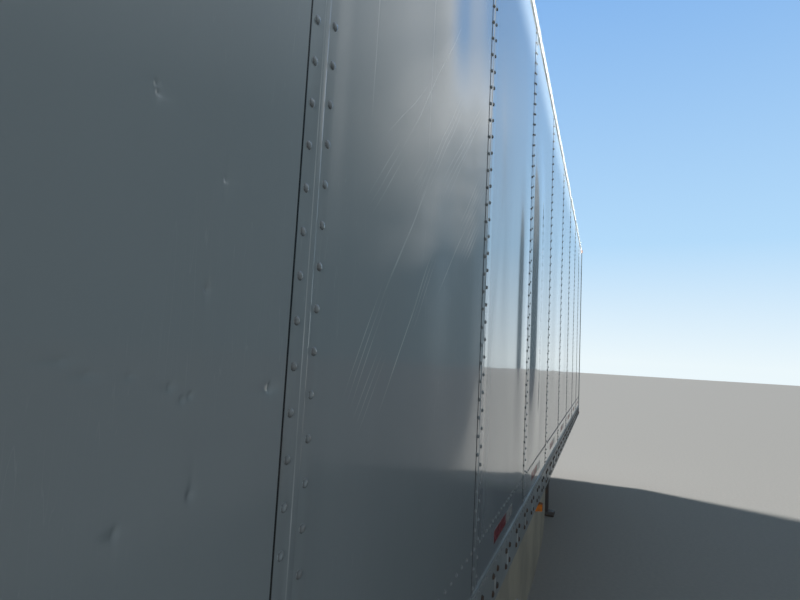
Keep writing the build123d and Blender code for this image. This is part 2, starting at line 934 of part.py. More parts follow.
for radius, length in kingpin_parts:
    part = Pos(kingpin_x, 0, part_top - length / 2) * Cylinder(radius, length)
    kingpin = part if kingpin is None else kingpin + part
    part_top -= length
save("kingpin", kingpin)

# Nose couplings: a plate with the power socket and the two air couplings
coupling_z = rail_bottom + coupling_rise
coupling_face = front_x + coupling_plate
plate_half_width = coupling_plate_width / 2
plate_half_height = coupling_plate_height / 2
nose_couplings = block(
    front_x,
    coupling_face,
    -plate_half_width,
    plate_half_width,
    coupling_z - plate_half_height,
    coupling_z + plate_half_height,
)
socket_end = coupling_face + socket_length
nose_couplings += round_bar((coupling_face, 0, coupling_z), (socket_end, 0, coupling_z), socket_radius)
disc_end = front_x + nose_reach
disc_foot = disc_end - air_disc_length
for y in (-air_coupling_offset, air_coupling_offset):
    nose_couplings += round_bar((coupling_face, y, coupling_z), (disc_foot, y, coupling_z), air_stub_radius)
    nose_couplings += round_bar((disc_foot, y, coupling_z), (disc_end, y, coupling_z), air_disc_radius)
save("nose_couplings", nose_couplings)


# Landing legs, under the nearest cross member
def nearest_cross_member(x):
    """The place of the cross member that lies nearest to x."""
    return min(cross_member_places, key=lambda place: abs(place - x))


leg_x = nearest_cross_member(front_x - leg_setback)
leg_inner_face = leg_spread - leg_tube / 2
leg_outer_face = leg_spread + leg_tube / 2


def square_block(x, y, size, z0, z1):
    """An upright piece of square section."""
    return block(x - size / 2, x + size / 2, y - size / 2, y + size / 2, z0, z1)


def leg_plate_outline():
    """The side outline of the plate that carries one leg from the cross members."""
    low = cross_member_bottom - leg_plate_height
    half = leg_plate_length / 2
    return [
        (leg_x - half, cross_member_bottom),
        (leg_x - half, cross_member_bottom - leg_plate_edge),
        (leg_x - leg_tube, low),
        (leg_x + leg_tube, low),
        (leg_x + half, cross_member_bottom - leg_plate_edge),
        (leg_x + half, cross_member_bottom),
    ]


leg_outer = square_block(leg_x, leg_spread, leg_tube, leg_tube_bottom, cross_member_bottom)
leg_outer += along_y(leg_plate_outline(), leg_inner_face - leg_plate, leg_inner_face)
save_pair("leg_tubes", leg_outer)


def leg_foot():
    """The left inner leg with its sand shoe, whose toes turn up."""
    half = shoe_size / 2
    shoe_outline = [
        (leg_x - half, shoe_toe_rise),
        (leg_x - half + shoe_toe_length, 0),
        (leg_x + half - shoe_toe_length, 0),
        (leg_x + half, shoe_toe_rise),
        (leg_x + half, shoe_toe_rise + shoe_skin),
        (leg_x + leg_inner_tube / 2, shoe_height),
        (leg_x - leg_inner_tube / 2, shoe_height),
        (leg_x - half, shoe_toe_rise + shoe_skin),
    ]
    shoe = along_y(shoe_outline, leg_spread - half, leg_spread + half)
    return shoe + square_block(leg_x, leg_spread, leg_inner_tube, shoe_height, leg_tube_bottom)


save_pair("leg_feet", leg_foot())

# Drive of the legs: the shaft across, the gearbox on the road side and its hanging crank
drive_inner = leg_inner_face - leg_plate
shaft = cross_bar(leg_x, shaft_height, -drive_inner, drive_inner, shaft_radius)
gearbox_top = shaft_height + gearbox_above
gearbox_low = shaft_height - gearbox_below
gearbox_outline = [
    (leg_x - gearbox_length / 2, gearbox_top),
    (leg_x - gearbox_length / 2, gearbox_low + gearbox_slope),
    (leg_x - gearbox_length / 2 + gearbox_slope, gearbox_low),
    (leg_x + gearbox_length / 2 - gearbox_slope, gearbox_low),
    (leg_x + gearbox_length / 2, gearbox_low + gearbox_slope),
    (leg_x + gearbox_length / 2, gearbox_top),
]
gearbox_face = leg_outer_face + gearbox_width
crank_face = gearbox_face + crank_stub
crank_end = crank_face + crank_arm_thickness
drive = along_y(gearbox_outline, leg_outer_face, gearbox_face)
drive += cross_bar(leg_x, shaft_height, gearbox_face, crank_face, crank_radius)
drive += block(
    leg_x - crank_arm_width / 2,
    leg_x + crank_arm_width / 2,
    crank_face,
    crank_end,
    shaft_height - crank_arm_length,
    shaft_height + crank_arm_width / 2,
)
grip_z = shaft_height - crank_arm_length + crank_arm_width / 2
drive += cross_bar(leg_x, grip_z, crank_end, crank_end + crank_grip_length, crank_radius)
save("leg_drive", shaft, drive)


def long_brace():
    """The left leg's rearward brace, from a lug on the tube up to a cross member."""
    head_x = nearest_cross_member(leg_x - brace_reach)
    half = brace_size / 2
    points = [
        (leg_x - half, brace_foot_height - half),
        (leg_x + half, brace_foot_height + half),
        (head_x + brace_size, cross_member_bottom),
        (head_x - half, cross_member_bottom),
    ]
    bar = along_y(points, drive_inner - brace_size, drive_inner)
    lug = block(leg_x - half, leg_x, drive_inner, leg_inner_face, brace_foot_height - half, brace_foot_height)
    return bar + lug


def cross_brace():
    """The left leg's inward brace, from the tube up to the middle of its cross member."""
    points = [
        (leg_inner_face, cross_brace_foot_height),
        (leg_inner_face, cross_brace_foot_height + brace_size),
        (cross_brace_head_offset, cross_member_bottom),
        (cross_brace_head_offset - brace_size, cross_member_bottom),
    ]
    near = leg_x + cross_brace_offset
    return along_x(points, near, near + cross_brace_thickness)


save_pair("leg_braces", long_brace(), cross_brace())

# Side skirts: moulded panels below the rail, whose front corner is a short arc and a long sweep
skirt_inner = skirt_outer - skirt_thickness
skirt_front_x = front_x - skirt_front_setback
skirt_rear_x = front_axle_x + slider_travel + tyre_radius + skirt_wheel_gap
corner_turn = radians(skirt_corner_turn)
sweep_extra = skirt_sweep_radius - skirt_corner_radius
corner_rise = skirt_sweep_radius - sweep_extra * sin(corner_turn)
corner_start = (skirt_front_x, skirt_bottom + corner_rise)
corner_arc = JernArc(corner_start, (0, -1), skirt_corner_radius, -skirt_corner_turn)
sweep_arc = JernArc(corner_arc @ 1, corner_arc % 1, skirt_sweep_radius, skirt_corner_turn - 90.0)
skirt_outline = [
    Line((skirt_rear_x, cross_member_bottom), (skirt_front_x, cross_member_bottom)),
    Line((skirt_front_x, cross_member_bottom), corner_start),
    corner_arc,
    sweep_arc,
    Line(sweep_arc @ 1, (skirt_rear_x, skirt_bottom)),
    Line((skirt_rear_x, skirt_bottom), (skirt_rear_x, cross_member_bottom)),
]
skirt = extrude(side_plane(skirt_outer) * make_face(skirt_outline), skirt_thickness)
skirt_joint_count = int((skirt_front_x - skirt_rear_x) / skirt_panel_length)
for number in range(skirt_joint_count):
    joint_x = skirt_front_x - skirt_panel_length * (number + 1)
    skirt -= block(joint_x - panel_gap, joint_x, skirt_inner, skirt_outer, skirt_bottom, cross_member_bottom)
save_pair("skirts", skirt)
strut_head_y = skirt_inner - skirt_strut_reach
strut_foot_z = skirt_bottom + skirt_strut_rise
strut_section = [
    (skirt_inner, strut_foot_z),
    (skirt_inner, strut_foot_z + skirt_strut_foot),
    (strut_head_y + skirt_strut_head, cross_member_bottom),
    (strut_head_y, cross_member_bottom),
]
half_strut = skirt_strut_width / 2
struts = []
for number in range(int((skirt_front_x - skirt_rear_x) / skirt_strut_pitch)):
    x = nearest_cross_member(skirt_rear_x + skirt_strut_pitch * (number + 0.5))
    struts.append(along_x(strut_section, x - half_strut, x + half_strut))
save_pair("skirt_struts", *struts)

# Slider rails: Z sections under the cross members, with a row of holes for the tandem's lock pins
tandem_half_length = axle_spacing / 2 + spring_half_length + tandem_overhang
slider_front_x = tandem_x + slider_travel + tandem_half_length + slider_overrun
slider_bottom = cross_member_bottom - slider_rail_depth
rail_half = tandem_rail_width / 2
tandem_rail_inner = slider_half_spread - rail_half
tandem_rail_outer = slider_half_spread + rail_half
slider_web_inner = tandem_rail_outer + slide_side_gap
slider_web_outer = slider_web_inner + slider_rail_skin
slider_section = [
    (tandem_rail_inner, cross_member_bottom),
    (tandem_rail_inner, cross_member_bottom - slider_rail_skin),
    (slider_web_inner, cross_member_bottom - slider_rail_skin),
    (slider_web_inner, slider_bottom),
    (slider_web_inner + slider_flange, slider_bottom),
    (slider_web_inner + slider_flange, slider_bottom + slider_rail_skin),
    (slider_web_outer, slider_bottom + slider_rail_skin),
    (slider_web_outer, cross_member_bottom),
]
slider_rail = along_x(slider_section, wall_rear_x + slider_rear_inset, slider_front_x)
lock_pin_z = cross_member_bottom - slider_rail_depth / 2
lock_pin_reach = lock_pin_pitch * lock_pin_steps
lock_pin_places = (tandem_x - lock_pin_reach, tandem_x + lock_pin_reach)
hole_count = round((slider_travel + 2 * lock_pin_reach) / lock_pin_pitch) + 1
for number in range(hole_count):
    hole_x = lock_pin_places[0] + lock_pin_pitch * number
    slider_rail -= cross_bar(
        hole_x, lock_pin_z, slider_web_inner, slider_web_outer, lock_pin_radius + lock_pin_clearance
    )
save_pair("slider_rails", slider_rail)

# Tandem frame: two box rails inside the slider rails, joined by cross tubes, its lock pins drawn back
tandem_top = cross_member_bottom - slider_rail_skin - slide_clearance
tandem_low = tandem_top - tandem_rail_height
tandem_back = tandem_x - tandem_half_length
tandem_front = tandem_x + tandem_half_length
tandem_side = block(tandem_back, tandem_front, tandem_rail_inner, tandem_rail_outer, tandem_low, tandem_top)
stub_end = tandem_rail_outer + lock_pin_stub
for x in lock_pin_places:
    tandem_side += cross_bar(x, lock_pin_z, tandem_rail_outer, stub_end, lock_pin_radius)
for axle_x in (front_axle_x, rear_axle_x):
    for x in (axle_x - clip_reach, axle_x + clip_reach):
        tandem_side += block(
            x - clip_length / 2,
            x + clip_length / 2,
            tandem_rail_inner,
            tandem_rail_outer + clip_overhang,
            tandem_low - clip_thickness,
            tandem_low,
        )
tandem_frame = tandem_side + mirrored(tandem_side)
half_tube = tandem_tube_width / 2
tandem_tube_places = (
    tandem_back + tandem_tube_inset,
    tandem_x - tandem_tube_reach,
    tandem_x + tandem_tube_reach,
    tandem_front - tandem_tube_inset,
)
tube_top = tandem_top - tandem_tube_drop
for x in tandem_tube_places:
    tandem_frame += block(
        x - half_tube, x + half_tube, -tandem_rail_inner, tandem_rail_inner, tandem_low, tube_top
    )
save("tandem_frame", tandem_frame)

# Leaf springs: leaves bent to one radius and nested in a stack, the short one on top
spring_seat = axle_z + axle_radius + saddle_height
spring_radius = (spring_half_length**2 + spring_rise**2) / (2 * spring_rise)
spring_inner = slider_half_spread - spring_width / 2
spring_outer = slider_half_spread + spring_width / 2
leaf_shares = (1.0, 1.0, spring_top_leaf_share)


def leaf(x, number, share):
    """One leaf of the stack over x, share of the full length long, number counted upwards."""
    reach = spring_half_length * share
    rise = spring_radius - (spring_radius**2 - reach**2) ** 0.5
    low = spring_seat + number * spring_leaf
    high = low + spring_leaf
    outline = [
        ThreePointArc((x - reach, low + rise), (x, low), (x + reach, low + rise)),
        Line((x + reach, low + rise), (x + reach, high + rise)),
        ThreePointArc((x + reach, high + rise), (x, high), (x - reach, high + rise)),
        Line((x - reach, high + rise), (x - reach, low + rise)),
    ]
    return extrude(side_plane(spring_outer) * make_face(outline), spring_width)


springs = []
for x in (front_axle_x, rear_axle_x):
    leaves = [leaf(x, number, share) for number, share in enumerate(leaf_shares)]
    springs.append(leaves[0] + leaves[1] + leaves[2])
save_pair("leaf_springs", *springs)

# Spring hangers at both ends and a rocking equalizer between the springs
spring_end_top = spring_seat + spring_rise + 2 * spring_leaf
slot_half = spring_width / 2 + spring_side_gap
hanger_inner = slider_half_spread - slot_half - hanger_plate
hanger_outer = slider_half_spread + slot_half + hanger_plate
slot_inner = slider_half_spread - slot_half
slot_outer = slider_half_spread + slot_half
rod_eye_z = spring_seat - rod_drop
rod_axle_z = axle_z + rod_axle_rise
rod_hanger_low = rod_eye_z - rod_eye_radius - rod_margin


def hanger(x, top_length, foot_length, low, slot_top):
    """A left hanger: two plates that taper downwards, under a block that ends at slot_top."""
    points = [
        (x - top_length / 2, tandem_low),
        (x + top_length / 2, tandem_low),
        (x + foot_length / 2, low),
        (x - foot_length / 2, low),
    ]
    slot = block(x - top_length, x + top_length, slot_inner, slot_outer, low, slot_top)
    return along_y(points, hanger_inner, hanger_outer) - slot


def rod_pin(x):
    """The pin through a left hanger's plates that carries a torque rod."""
    return cross_bar(x, rod_eye_z, hanger_inner, hanger_outer, rod_pin_radius)


equalizer_z = spring_end_top + equalizer_rise
front_hanger_x = front_axle_x + spring_half_length
rear_hanger_x = rear_axle_x - spring_half_length
bearing_top = spring_end_top + seat_gap
front_hanger = hanger(front_hanger_x, hanger_top_length, hanger_foot_length, rod_hanger_low, bearing_top)
rear_hanger = hanger(
    rear_hanger_x, hanger_top_length, hanger_foot_length, spring_end_top - hanger_drop, bearing_top
)
centre_hanger = hanger(
    tandem_x, centre_hanger_top_length, centre_hanger_foot_length, rod_hanger_low, tandem_low - hanger_plate
)
centre_hanger += cross_bar(tandem_x, equalizer_z, hanger_inner, hanger_outer, equalizer_pin_radius)
front_hanger += rod_pin(front_hanger_x)
centre_hanger += rod_pin(tandem_x)
save_pair("spring_hangers", front_hanger, centre_hanger, rear_hanger)


def equalizer():
    """The left rocker, with its ends on the two springs' free ends."""
    half = equalizer_length / 2
    pad = half - equalizer_pad
    points = [
        (tandem_x - half, bearing_top),
        (tandem_x - pad, bearing_top),
        (tandem_x, bearing_top + equalizer_edge),
        (tandem_x + pad, bearing_top),
        (tandem_x + half, bearing_top),
        (tandem_x + half, bearing_top + equalizer_edge),
        (tandem_x + pad, equalizer_z + equalizer_crown),
        (tandem_x - pad, equalizer_z + equalizer_crown),
        (tandem_x - half, bearing_top + equalizer_edge),
    ]
    bore_radius = equalizer_pin_radius + seat_gap
    body = along_y(points, spring_inner, spring_outer)
    return body - cross_bar(tandem_x, equalizer_z, spring_inner, spring_outer, bore_radius)


save_pair("equalizers", equalizer())


def torque_rod(hanger_x, axle_x):
    """The left rod that holds one axle square, from a hanger's pin back to the axle's pin."""
    start = (hanger_x, slider_half_spread, rod_eye_z)
    end = (axle_x + rod_axle_reach, slider_half_spread, rod_axle_z)
    rod = round_bar(start, end, rod_radius)
    near = slider_half_spread - rod_eye_width / 2
    far = slider_half_spread + rod_eye_width / 2
    for x, _, z in (start, end):
        rod += cross_bar(x, z, near, far, rod_eye_radius)
    for x, _, z in (start, end):
        rod -= cross_bar(x, z, near, far, rod_pin_radius + seat_gap)
    return rod


save_pair("torque_rods", torque_rod(front_hanger_x, front_axle_x), torque_rod(tandem_x, rear_axle_x))

# Axles: a tube with a spindle at each end, and at each spring a saddle with the lugs for a torque rod
drum_back = wheel_track / 2 - wheel_disc - drum_width
beam_end = drum_back - shield_gap
spindle_end = wheel_track / 2 + spindle_overrun


def axle_seat(x):
    """The left spring's saddle on the axle at x, with two lugs and a pin ahead of it."""
    half_length = saddle_length / 2
    half_saddle = saddle_width / 2
    lug_near = rod_eye_width / 2 + rod_lug_gap
    lug_far = lug_near + rod_lug_skin
    y = slider_half_spread
    seat = block(x - half_length, x + half_length, y - half_saddle, y + half_saddle, axle_z, spring_seat)
    for y0, y1 in ((y - lug_far, y - lug_near), (y + lug_near, y + lug_far)):
        lug = along_y(
            [
                (x, axle_z + axle_radius / 2),
                (x, axle_z - axle_radius / 2),
                (x + rod_axle_reach + rod_eye_radius / 2, rod_axle_z - rod_eye_radius / 2),
                (x + rod_axle_reach + rod_eye_radius / 2, rod_axle_z + rod_eye_radius / 2),
            ],
            y0,
            y1,
        )
        seat += lug
    return seat + cross_bar(x + rod_axle_reach, rod_axle_z, y - lug_far, y + lug_far, rod_pin_radius)


def axle(x):
    """One axle across the trailer at x."""
    beam = cross_bar(x, axle_z, -beam_end, beam_end, axle_radius)
    beam += cross_bar(x, axle_z, -spindle_end, spindle_end, spindle_radius)
    beam += cross_bar(x, axle_z, beam_end - shield_thickness, beam_end, shield_radius)
    beam += cross_bar(x, axle_z, -beam_end, shield_thickness - beam_end, shield_radius)
    return beam + axle_seat(x) + mirrored(axle_seat(x))


save("axles", axle(front_axle_x), axle(rear_axle_x))

# Brake chambers, ahead of each axle on short arms
chambers = []
chamber_y = slider_half_spread - chamber_inset
for axle_x in (front_axle_x, rear_axle_x):
    chamber_foot = axle_x + chamber_reach
    arm = block(
        axle_x + axle_radius,
        chamber_foot,
        chamber_y - chamber_arm / 2,
        chamber_y + chamber_arm / 2,
        axle_z - chamber_arm_height / 2,
        axle_z + chamber_arm_height / 2,
    )
    can = round_bar(
        (chamber_foot, chamber_y, axle_z), (chamber_foot + chamber_length, chamber_y, axle_z), chamber_radius
    )
    chambers.append(arm + can)
save_pair("brake_chambers", *chambers)

# Mud flaps on arms under the ends of the tandem frame
flap_x = tandem_back + flap_inset
flap_top = tandem_low - flap_arm
flap_y = wheel_track / 2
half_flap = flap_width / 2
arm_bar = block(
    flap_x - flap_arm / 2, flap_x + flap_arm / 2, tandem_rail_inner, flap_y + half_flap, flap_top, tandem_low
)
flap_sheet = block(
    flap_x - flap_thickness / 2,
    flap_x + flap_thickness / 2,
    flap_y - half_flap,
    flap_y + half_flap,
    flap_top - flap_height,
    flap_top,
)
save_pair("mud_flaps", arm_bar + flap_sheet)

# Air tanks with domed ends, under the tandem frame's middle tubes
tank_z = tandem_low - tank_radius
tanks = []
for x in (tandem_x - tandem_tube_reach, tandem_x + tandem_tube_reach):
    tank = cross_bar(x, tank_z, -tank_length / 2, tank_length / 2, tank_radius)
    tanks.append(fillet(tank.edges().filter_by(GeomType.CIRCLE), tank_dome))
save("air_tanks", *tanks)


# Wheels: two tyres on disc wheels, bolted to one hub with its drum
def turned_about_axle(x, profile):
    """A ring from a profile of (y, radius) points, turned about the axle line at x."""
    plane = Plane(origin=(0, 0, 0), x_dir=(0, 1, 0), z_dir=(1, 0, 0))
    ring = revolve(plane * make_face(Polyline(*profile, close=True)), Axis.Y)
    return Pos(x, 0, axle_z) * ring


disc_face = wheel_track / 2
bead_half = rim_width / 2 - rim_lip - bead_gap


def tyre(x, y):
    """One tyre of the left side, centred at y."""
    half = tyre_width / 2
    bore = bead_seat_radius + seat_gap
    shoulder = tyre_radius - tyre_shoulder
    half_profile = [
        (bead_half, bore),
        (bead_half, bore + bead_height),
        (half, (bore + tyre_radius) / 2),
        (half * tyre_shoulder_share, shoulder),
        (half * tyre_tread_share, tyre_radius - tyre_crown_drop),
    ]
    profile = [(y - reach, radius) for reach, radius in half_profile]
    profile.append((y, tyre_radius))
    profile += [(y + reach, radius) for reach, radius in reversed(half_profile)]
    return turned_about_axle(x, profile)


barrel_inner = bead_seat_radius - rim_skin
barrel_centre = disc_face + dual_spacing / 2
barrel_back = barrel_centre - rim_width / 2
barrel_front = barrel_centre + rim_width / 2
flange_radius = bead_seat_radius + rim_flange
disc_back = disc_face + seat_gap / 2
disc_front = disc_back + wheel_disc


def outer_wheel_profile():
    """The left outer disc wheel: a flat disc that dishes out into a deep barrel."""
    return [
        (disc_back, pilot_radius),
        (disc_back, dish_radius),
        (barrel_back - dish_back_step, barrel_inner - dish_skin_step),
        (barrel_back, flange_radius),
        (barrel_back + rim_lip, flange_radius),
        (barrel_back + rim_lip, bead_seat_radius),
        (barrel_front - rim_lip, bead_seat_radius),
        (barrel_front - rim_lip, flange_radius),
        (barrel_front, flange_radius),
        (barrel_front, barrel_inner),
        (barrel_back + 3 * rim_lip, barrel_inner),
        (disc_front, dish_radius - dish_skin_step),
        (disc_front, pilot_radius),
    ]


def inboard(profile):
    """The profile of the inner disc wheel, the same part turned to face inwards."""
    return [(2 * disc_face - y, radius) for y, radius in reversed(profile)]


def disc_wheel(x, profile):
    """One disc wheel at x with its hand holes."""
    wheel = turned_about_axle(x, profile)
    hole_half = wheel_disc + dual_spacing / 8
    for number in range(hand_hole_count):
        turn = radians(360.0 * (number + 0.5) / hand_hole_count)
        hole_x = x + hand_hole_circle * sin(turn)
        hole_z = axle_z + hand_hole_circle * cos(turn)
        wheel -= cross_bar(hole_x, hole_z, disc_face - hole_half, disc_face + hole_half, hand_hole_radius)
    return wheel


def hub_and_drum_profile():
    """The left hub, from its inner seal to its cap, with the drum open towards the axle."""
    bore = spindle_radius + bearing_gap
    seat = disc_face - seat_gap / 2 - wheel_disc - seat_gap
    back = drum_back + hub_back_setback
    flange_back = seat - hub_flange_depth
    drum_inner = drum_radius - drum_skin
    cap_end = spindle_end + hub_cap_length
    return [
        (back, bore),
        (back, hub_radius),
        (flange_back, hub_radius),
        (flange_back, hub_flange_radius),
        (seat - drum_web_depth, hub_flange_radius),
        (drum_back + drum_inner_length, drum_inner),
        (drum_back, drum_inner),
        (drum_back, drum_radius),
        (drum_back + drum_outer_length, drum_radius),
        (seat, drum_web_radius),
        (seat, pilot_radius - pilot_gap),
        (disc_front + pilot_length, pilot_radius - pilot_gap),
        (disc_front + pilot_length, hub_radius + hub_step),
        (spindle_end - hub_cap_seat, hub_radius + hub_step),
        (spindle_end - hub_cap_seat, hub_cap_radius),
        (cap_end, hub_cap_radius - hub_cap_seat),
        (cap_end, 0),
        (spindle_end + hub_cap_skin, 0),
        (spindle_end + hub_cap_skin, bore),
    ]


for axle_name, x in (("front", front_axle_x), ("rear", rear_axle_x)):
    wheel_profile = outer_wheel_profile()
    tyres = [tyre(x, disc_face - dual_spacing / 2), tyre(x, disc_face + dual_spacing / 2)]
    discs = [disc_wheel(x, wheel_profile), disc_wheel(x, inboard(wheel_profile))]
    hub = turned_about_axle(x, hub_and_drum_profile())
    for part_name, pieces in (("tyres", tyres), ("disc_wheels", discs), ("hub_and_drum", [hub])):
        save(f"{axle_name}_left_{part_name}", *pieces)
        save(f"{axle_name}_right_{part_name}", *[mirrored(piece) for piece in pieces])
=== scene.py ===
from math import cos, pi, radians, sin

import bmesh
import bpy
import numpy as np
from mathutils import Matrix, Vector


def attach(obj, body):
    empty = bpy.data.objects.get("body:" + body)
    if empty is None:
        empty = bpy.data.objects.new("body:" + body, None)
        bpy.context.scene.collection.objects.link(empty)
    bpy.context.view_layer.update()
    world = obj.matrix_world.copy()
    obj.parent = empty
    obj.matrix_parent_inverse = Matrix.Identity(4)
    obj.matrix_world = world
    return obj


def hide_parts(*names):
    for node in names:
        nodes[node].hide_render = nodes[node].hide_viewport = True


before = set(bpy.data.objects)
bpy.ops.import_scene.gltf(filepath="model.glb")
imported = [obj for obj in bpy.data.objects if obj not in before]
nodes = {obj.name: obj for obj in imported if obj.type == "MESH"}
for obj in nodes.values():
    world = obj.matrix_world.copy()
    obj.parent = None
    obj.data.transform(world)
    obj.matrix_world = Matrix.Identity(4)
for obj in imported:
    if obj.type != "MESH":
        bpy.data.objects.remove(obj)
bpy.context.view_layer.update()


# Floor frame: I-section cross members of rolled steel, painted dark and gone dull with road film,
# bolted to the bottom rails at one foot pitch. They carry laminated hardwood boards.

def feed(tree, node, feeds):
    """Gives each named input of a node its value or its link."""
    for key, value in dict(feeds).items():
        if isinstance(value, bpy.types.NodeSocket):
            tree.links.new(value, node.inputs[key])
        else:
            node.inputs[key].default_value = value


def shade(tree, kind, feeds=(), **settings):
    """Adds one shader node: settings are its options, feeds are for its inputs."""
    made = tree.nodes.new("ShaderNode" + kind)
    for key, value in settings.items():
        setattr(made, key, value)
    feed(tree, made, feeds)
    return made


def ramp(tree, factor, *stops):
    """A colour ramp with the given (place, colour) stops, read at the factor."""
    made = shade(tree, "ValToRGB", {"Fac": factor})
    points = made.color_ramp.elements
    while len(points) < len(stops):
        points.new(0.5)
    for point, (place, colour) in zip(points, stops):
        point.position = place
        point.color = (*colour, 1) if hasattr(colour, "__len__") else (colour, colour, colour, 1)
    return made.outputs["Color"]


def effect(name, results, **inputs):
    """An empty shader node group, with a number or a vector as each input's start, and plain results."""
    group = bpy.data.node_groups.new(name, "ShaderNodeTree")
    for label, value in inputs.items():
        kind = "NodeSocketVector" if isinstance(value, tuple) else "NodeSocketFloat"
        group.interface.new_socket(label, in_out="INPUT", socket_type=kind).default_value = value
    for label in results:
        group.interface.new_socket(label, in_out="OUTPUT", socket_type="NodeSocketFloat")
    return group, group.nodes.new("NodeGroupInput").outputs, group.nodes.new("NodeGroupOutput").inputs


def mixed(tree, factor, first, second, blend="MIX"):
    """A colour between two, by the factor."""
    return shade(tree, "MixRGB", {"Fac": factor, "Color1": first, "Color2": second},
                 blend_type=blend).outputs["Color"]


def maths(tree, kind, *values, clamp=False):
    """One Math node's result."""
    return shade(tree, "Math", dict(enumerate(values)), operation=kind, use_clamp=clamp).outputs[0]


def product(tree, first, second, clamp=False):
    """Two values multiplied."""
    return maths(tree, "MULTIPLY", first, second, clamp=clamp)


def sloped(tree, value, slope, start, clamp=False):
    """A value times a slope, plus a start."""
    return maths(tree, "MULTIPLY_ADD", value, slope, start, clamp=clamp)


def vectors(tree, kind, *values):
    """One Vector Math node."""
    return shade(tree, "VectorMath", dict(enumerate(values)), operation=kind).outputs


def place_on(tree):
    """The place on the object, in metres."""
    return shade(tree, "TexCoord").outputs["Object"]


def parts_of(tree, vector):
    """A vector's X, Y and Z."""
    return shade(tree, "SeparateXYZ", {"Vector": vector}).outputs


def noise(tree, place, scale, detail=2.0, **more):
    """A Noise Texture node's results."""
    return shade(tree, "TexNoise", {"Vector": place, "Scale": scale, "Detail": detail, **more}).outputs


road_film, give, take = effect("road film", ["Mask"], Reach=1.2, Amount=0.6, Scale=3.0)
tree = road_film
place = place_on(tree)
height = parts_of(tree, place)["Z"]
upward = parts_of(tree, shade(tree, "NewGeometry").outputs["Normal"])["Z"]
cloud = noise(tree, place, give["Scale"], 5.0)["Fac"]
low_down = maths(tree, "SUBTRACT", 1.0, maths(tree, "DIVIDE", height, give["Reach"]), clamp=True)
laid = maths(tree, "ADD", low_down, product(tree, upward, 0.45, clamp=True))
patchy = product(tree, laid, sloped(tree, cloud, 1.5, -0.1))
tree.links.new(product(tree, patchy, give["Amount"], clamp=True), take["Mask"])

edge_wear, give, take = effect("edge wear", ["Mask"], Width=0.004, Amount=1.0, Scale=25.0)
tree = edge_wear
rounded = shade(tree, "Bevel", {"Radius": give["Width"]}, samples=4).outputs["Normal"]
flat = shade(tree, "NewGeometry").outputs["Normal"]
alike = vectors(tree, "DOT_PRODUCT", rounded, flat)["Value"]
turned_away = product(tree, maths(tree, "SUBTRACT", 1.0, alike), 9.0, clamp=True)
nicks = noise(tree, place_on(tree), give["Scale"], 4.0)["Fac"]
broken = sloped(tree, nicks, 5.0, -2.0, clamp=True)
worn = product(tree, product(tree, turned_away, broken), give["Amount"], clamp=True)
tree.links.new(worn, take["Mask"])

patches, give, take = effect(
    "patches", ["Mask", "Grain"], Scale=6.0, Share=0.3, Stretch=(1, 1, 1), Sharpness=6.0)
tree = patches
drawn = vectors(tree, "MULTIPLY", place_on(tree), give["Stretch"])["Vector"]
cloud = noise(tree, drawn, give["Scale"], 7.0, Roughness=0.6)["Fac"]
lifted = maths(tree, "SUBTRACT", sloped(tree, give["Share"], 0.6, cloud), 0.62)
tree.links.new(product(tree, lifted, give["Sharpness"], clamp=True), take["Mask"])
grain = noise(tree, drawn, product(tree, give["Scale"], 18.0))["Fac"]
tree.links.new(grain, take["Grain"])


def between(tree, value, low, high):
    """A value from 0 to 1, spread from low to high."""
    return shade(tree, "MapRange", {"Value": value, "To Min": low, "To Max": high}).outputs[0]


def patterned(material, pattern):
    """Multiplies a material's colour by a pattern."""
    tree = material.node_tree
    paint = tree.nodes["Principled BSDF"].inputs["Base Color"]
    tree.links.new(mixed(tree, 1.0, paint.links[0].from_socket, pattern, "MULTIPLY"), paint)


def use(tree, group, **feeds):
    """Places a node group and feeds its inputs."""
    return shade(tree, "Group", feeds, node_tree=group).outputs


def blank(name):
    """A new material, its nodes and its main shader."""
    material = bpy.data.materials.new(name)
    material.use_nodes = True
    return material, material.node_tree, material.node_tree.nodes["Principled BSDF"]


def finish(name, clean, aged, rough=(0.35, 0.6), metal=0.0, coat=0.0, patch=(), film=(),
           film_colour=(0.2, 0.175, 0.15), bared=None, wear=(), bump=0.15):
    """A weathered finish: the clean colour, aged in patches, bared at its edges, with road film over it.
    patch is (scale, share, stretch, sharpness), wear is (width, amount) and film is (reach, amount)."""
    material, tree, shader = blank(name)
    spots = use(tree, patches, **dict(zip(("Scale", "Share", "Stretch", "Sharpness"), patch)))
    colour = mixed(tree, spots["Mask"], (*clean, 1), (*aged, 1))
    roughness = between(tree, spots["Mask"], *rough)
    if bared:
        edge = use(tree, edge_wear, **dict(zip(("Width", "Amount"), wear)))["Mask"]
        colour = mixed(tree, edge, colour, (*bared, 1))
    if film:
        dust = use(tree, road_film, **dict(zip(("Reach", "Amount"), film)))["Mask"]
        colour = mixed(tree, dust, colour, (*film_colour, 1))
        roughness = maths(tree, "ADD", roughness, product(tree, dust, 0.4), clamp=True)
    grain = sloped(tree, spots["Mask"], 1.5, spots["Grain"])
    lift = shade(tree, "Bump", {"Height": grain, "Strength": bump, "Distance": 0.002}).outputs["Normal"]
    feed(tree, shader, {"Base Color": colour, "Roughness": roughness, "Metallic": metal,
                        "Coat Weight": coat, "Normal": lift})
    return material


def dress(material, *names):
    """Gives CAD nodes a material in place of their plain one."""
    for name in names:
        for place in nodes[name].material_slots:
            place.material = material


def placed(name, data):
    """A new object in the scene for a mesh, a light or a camera."""
    made = bpy.data.objects.new(name, data)
    bpy.context.scene.collection.objects.link(made)
    return made


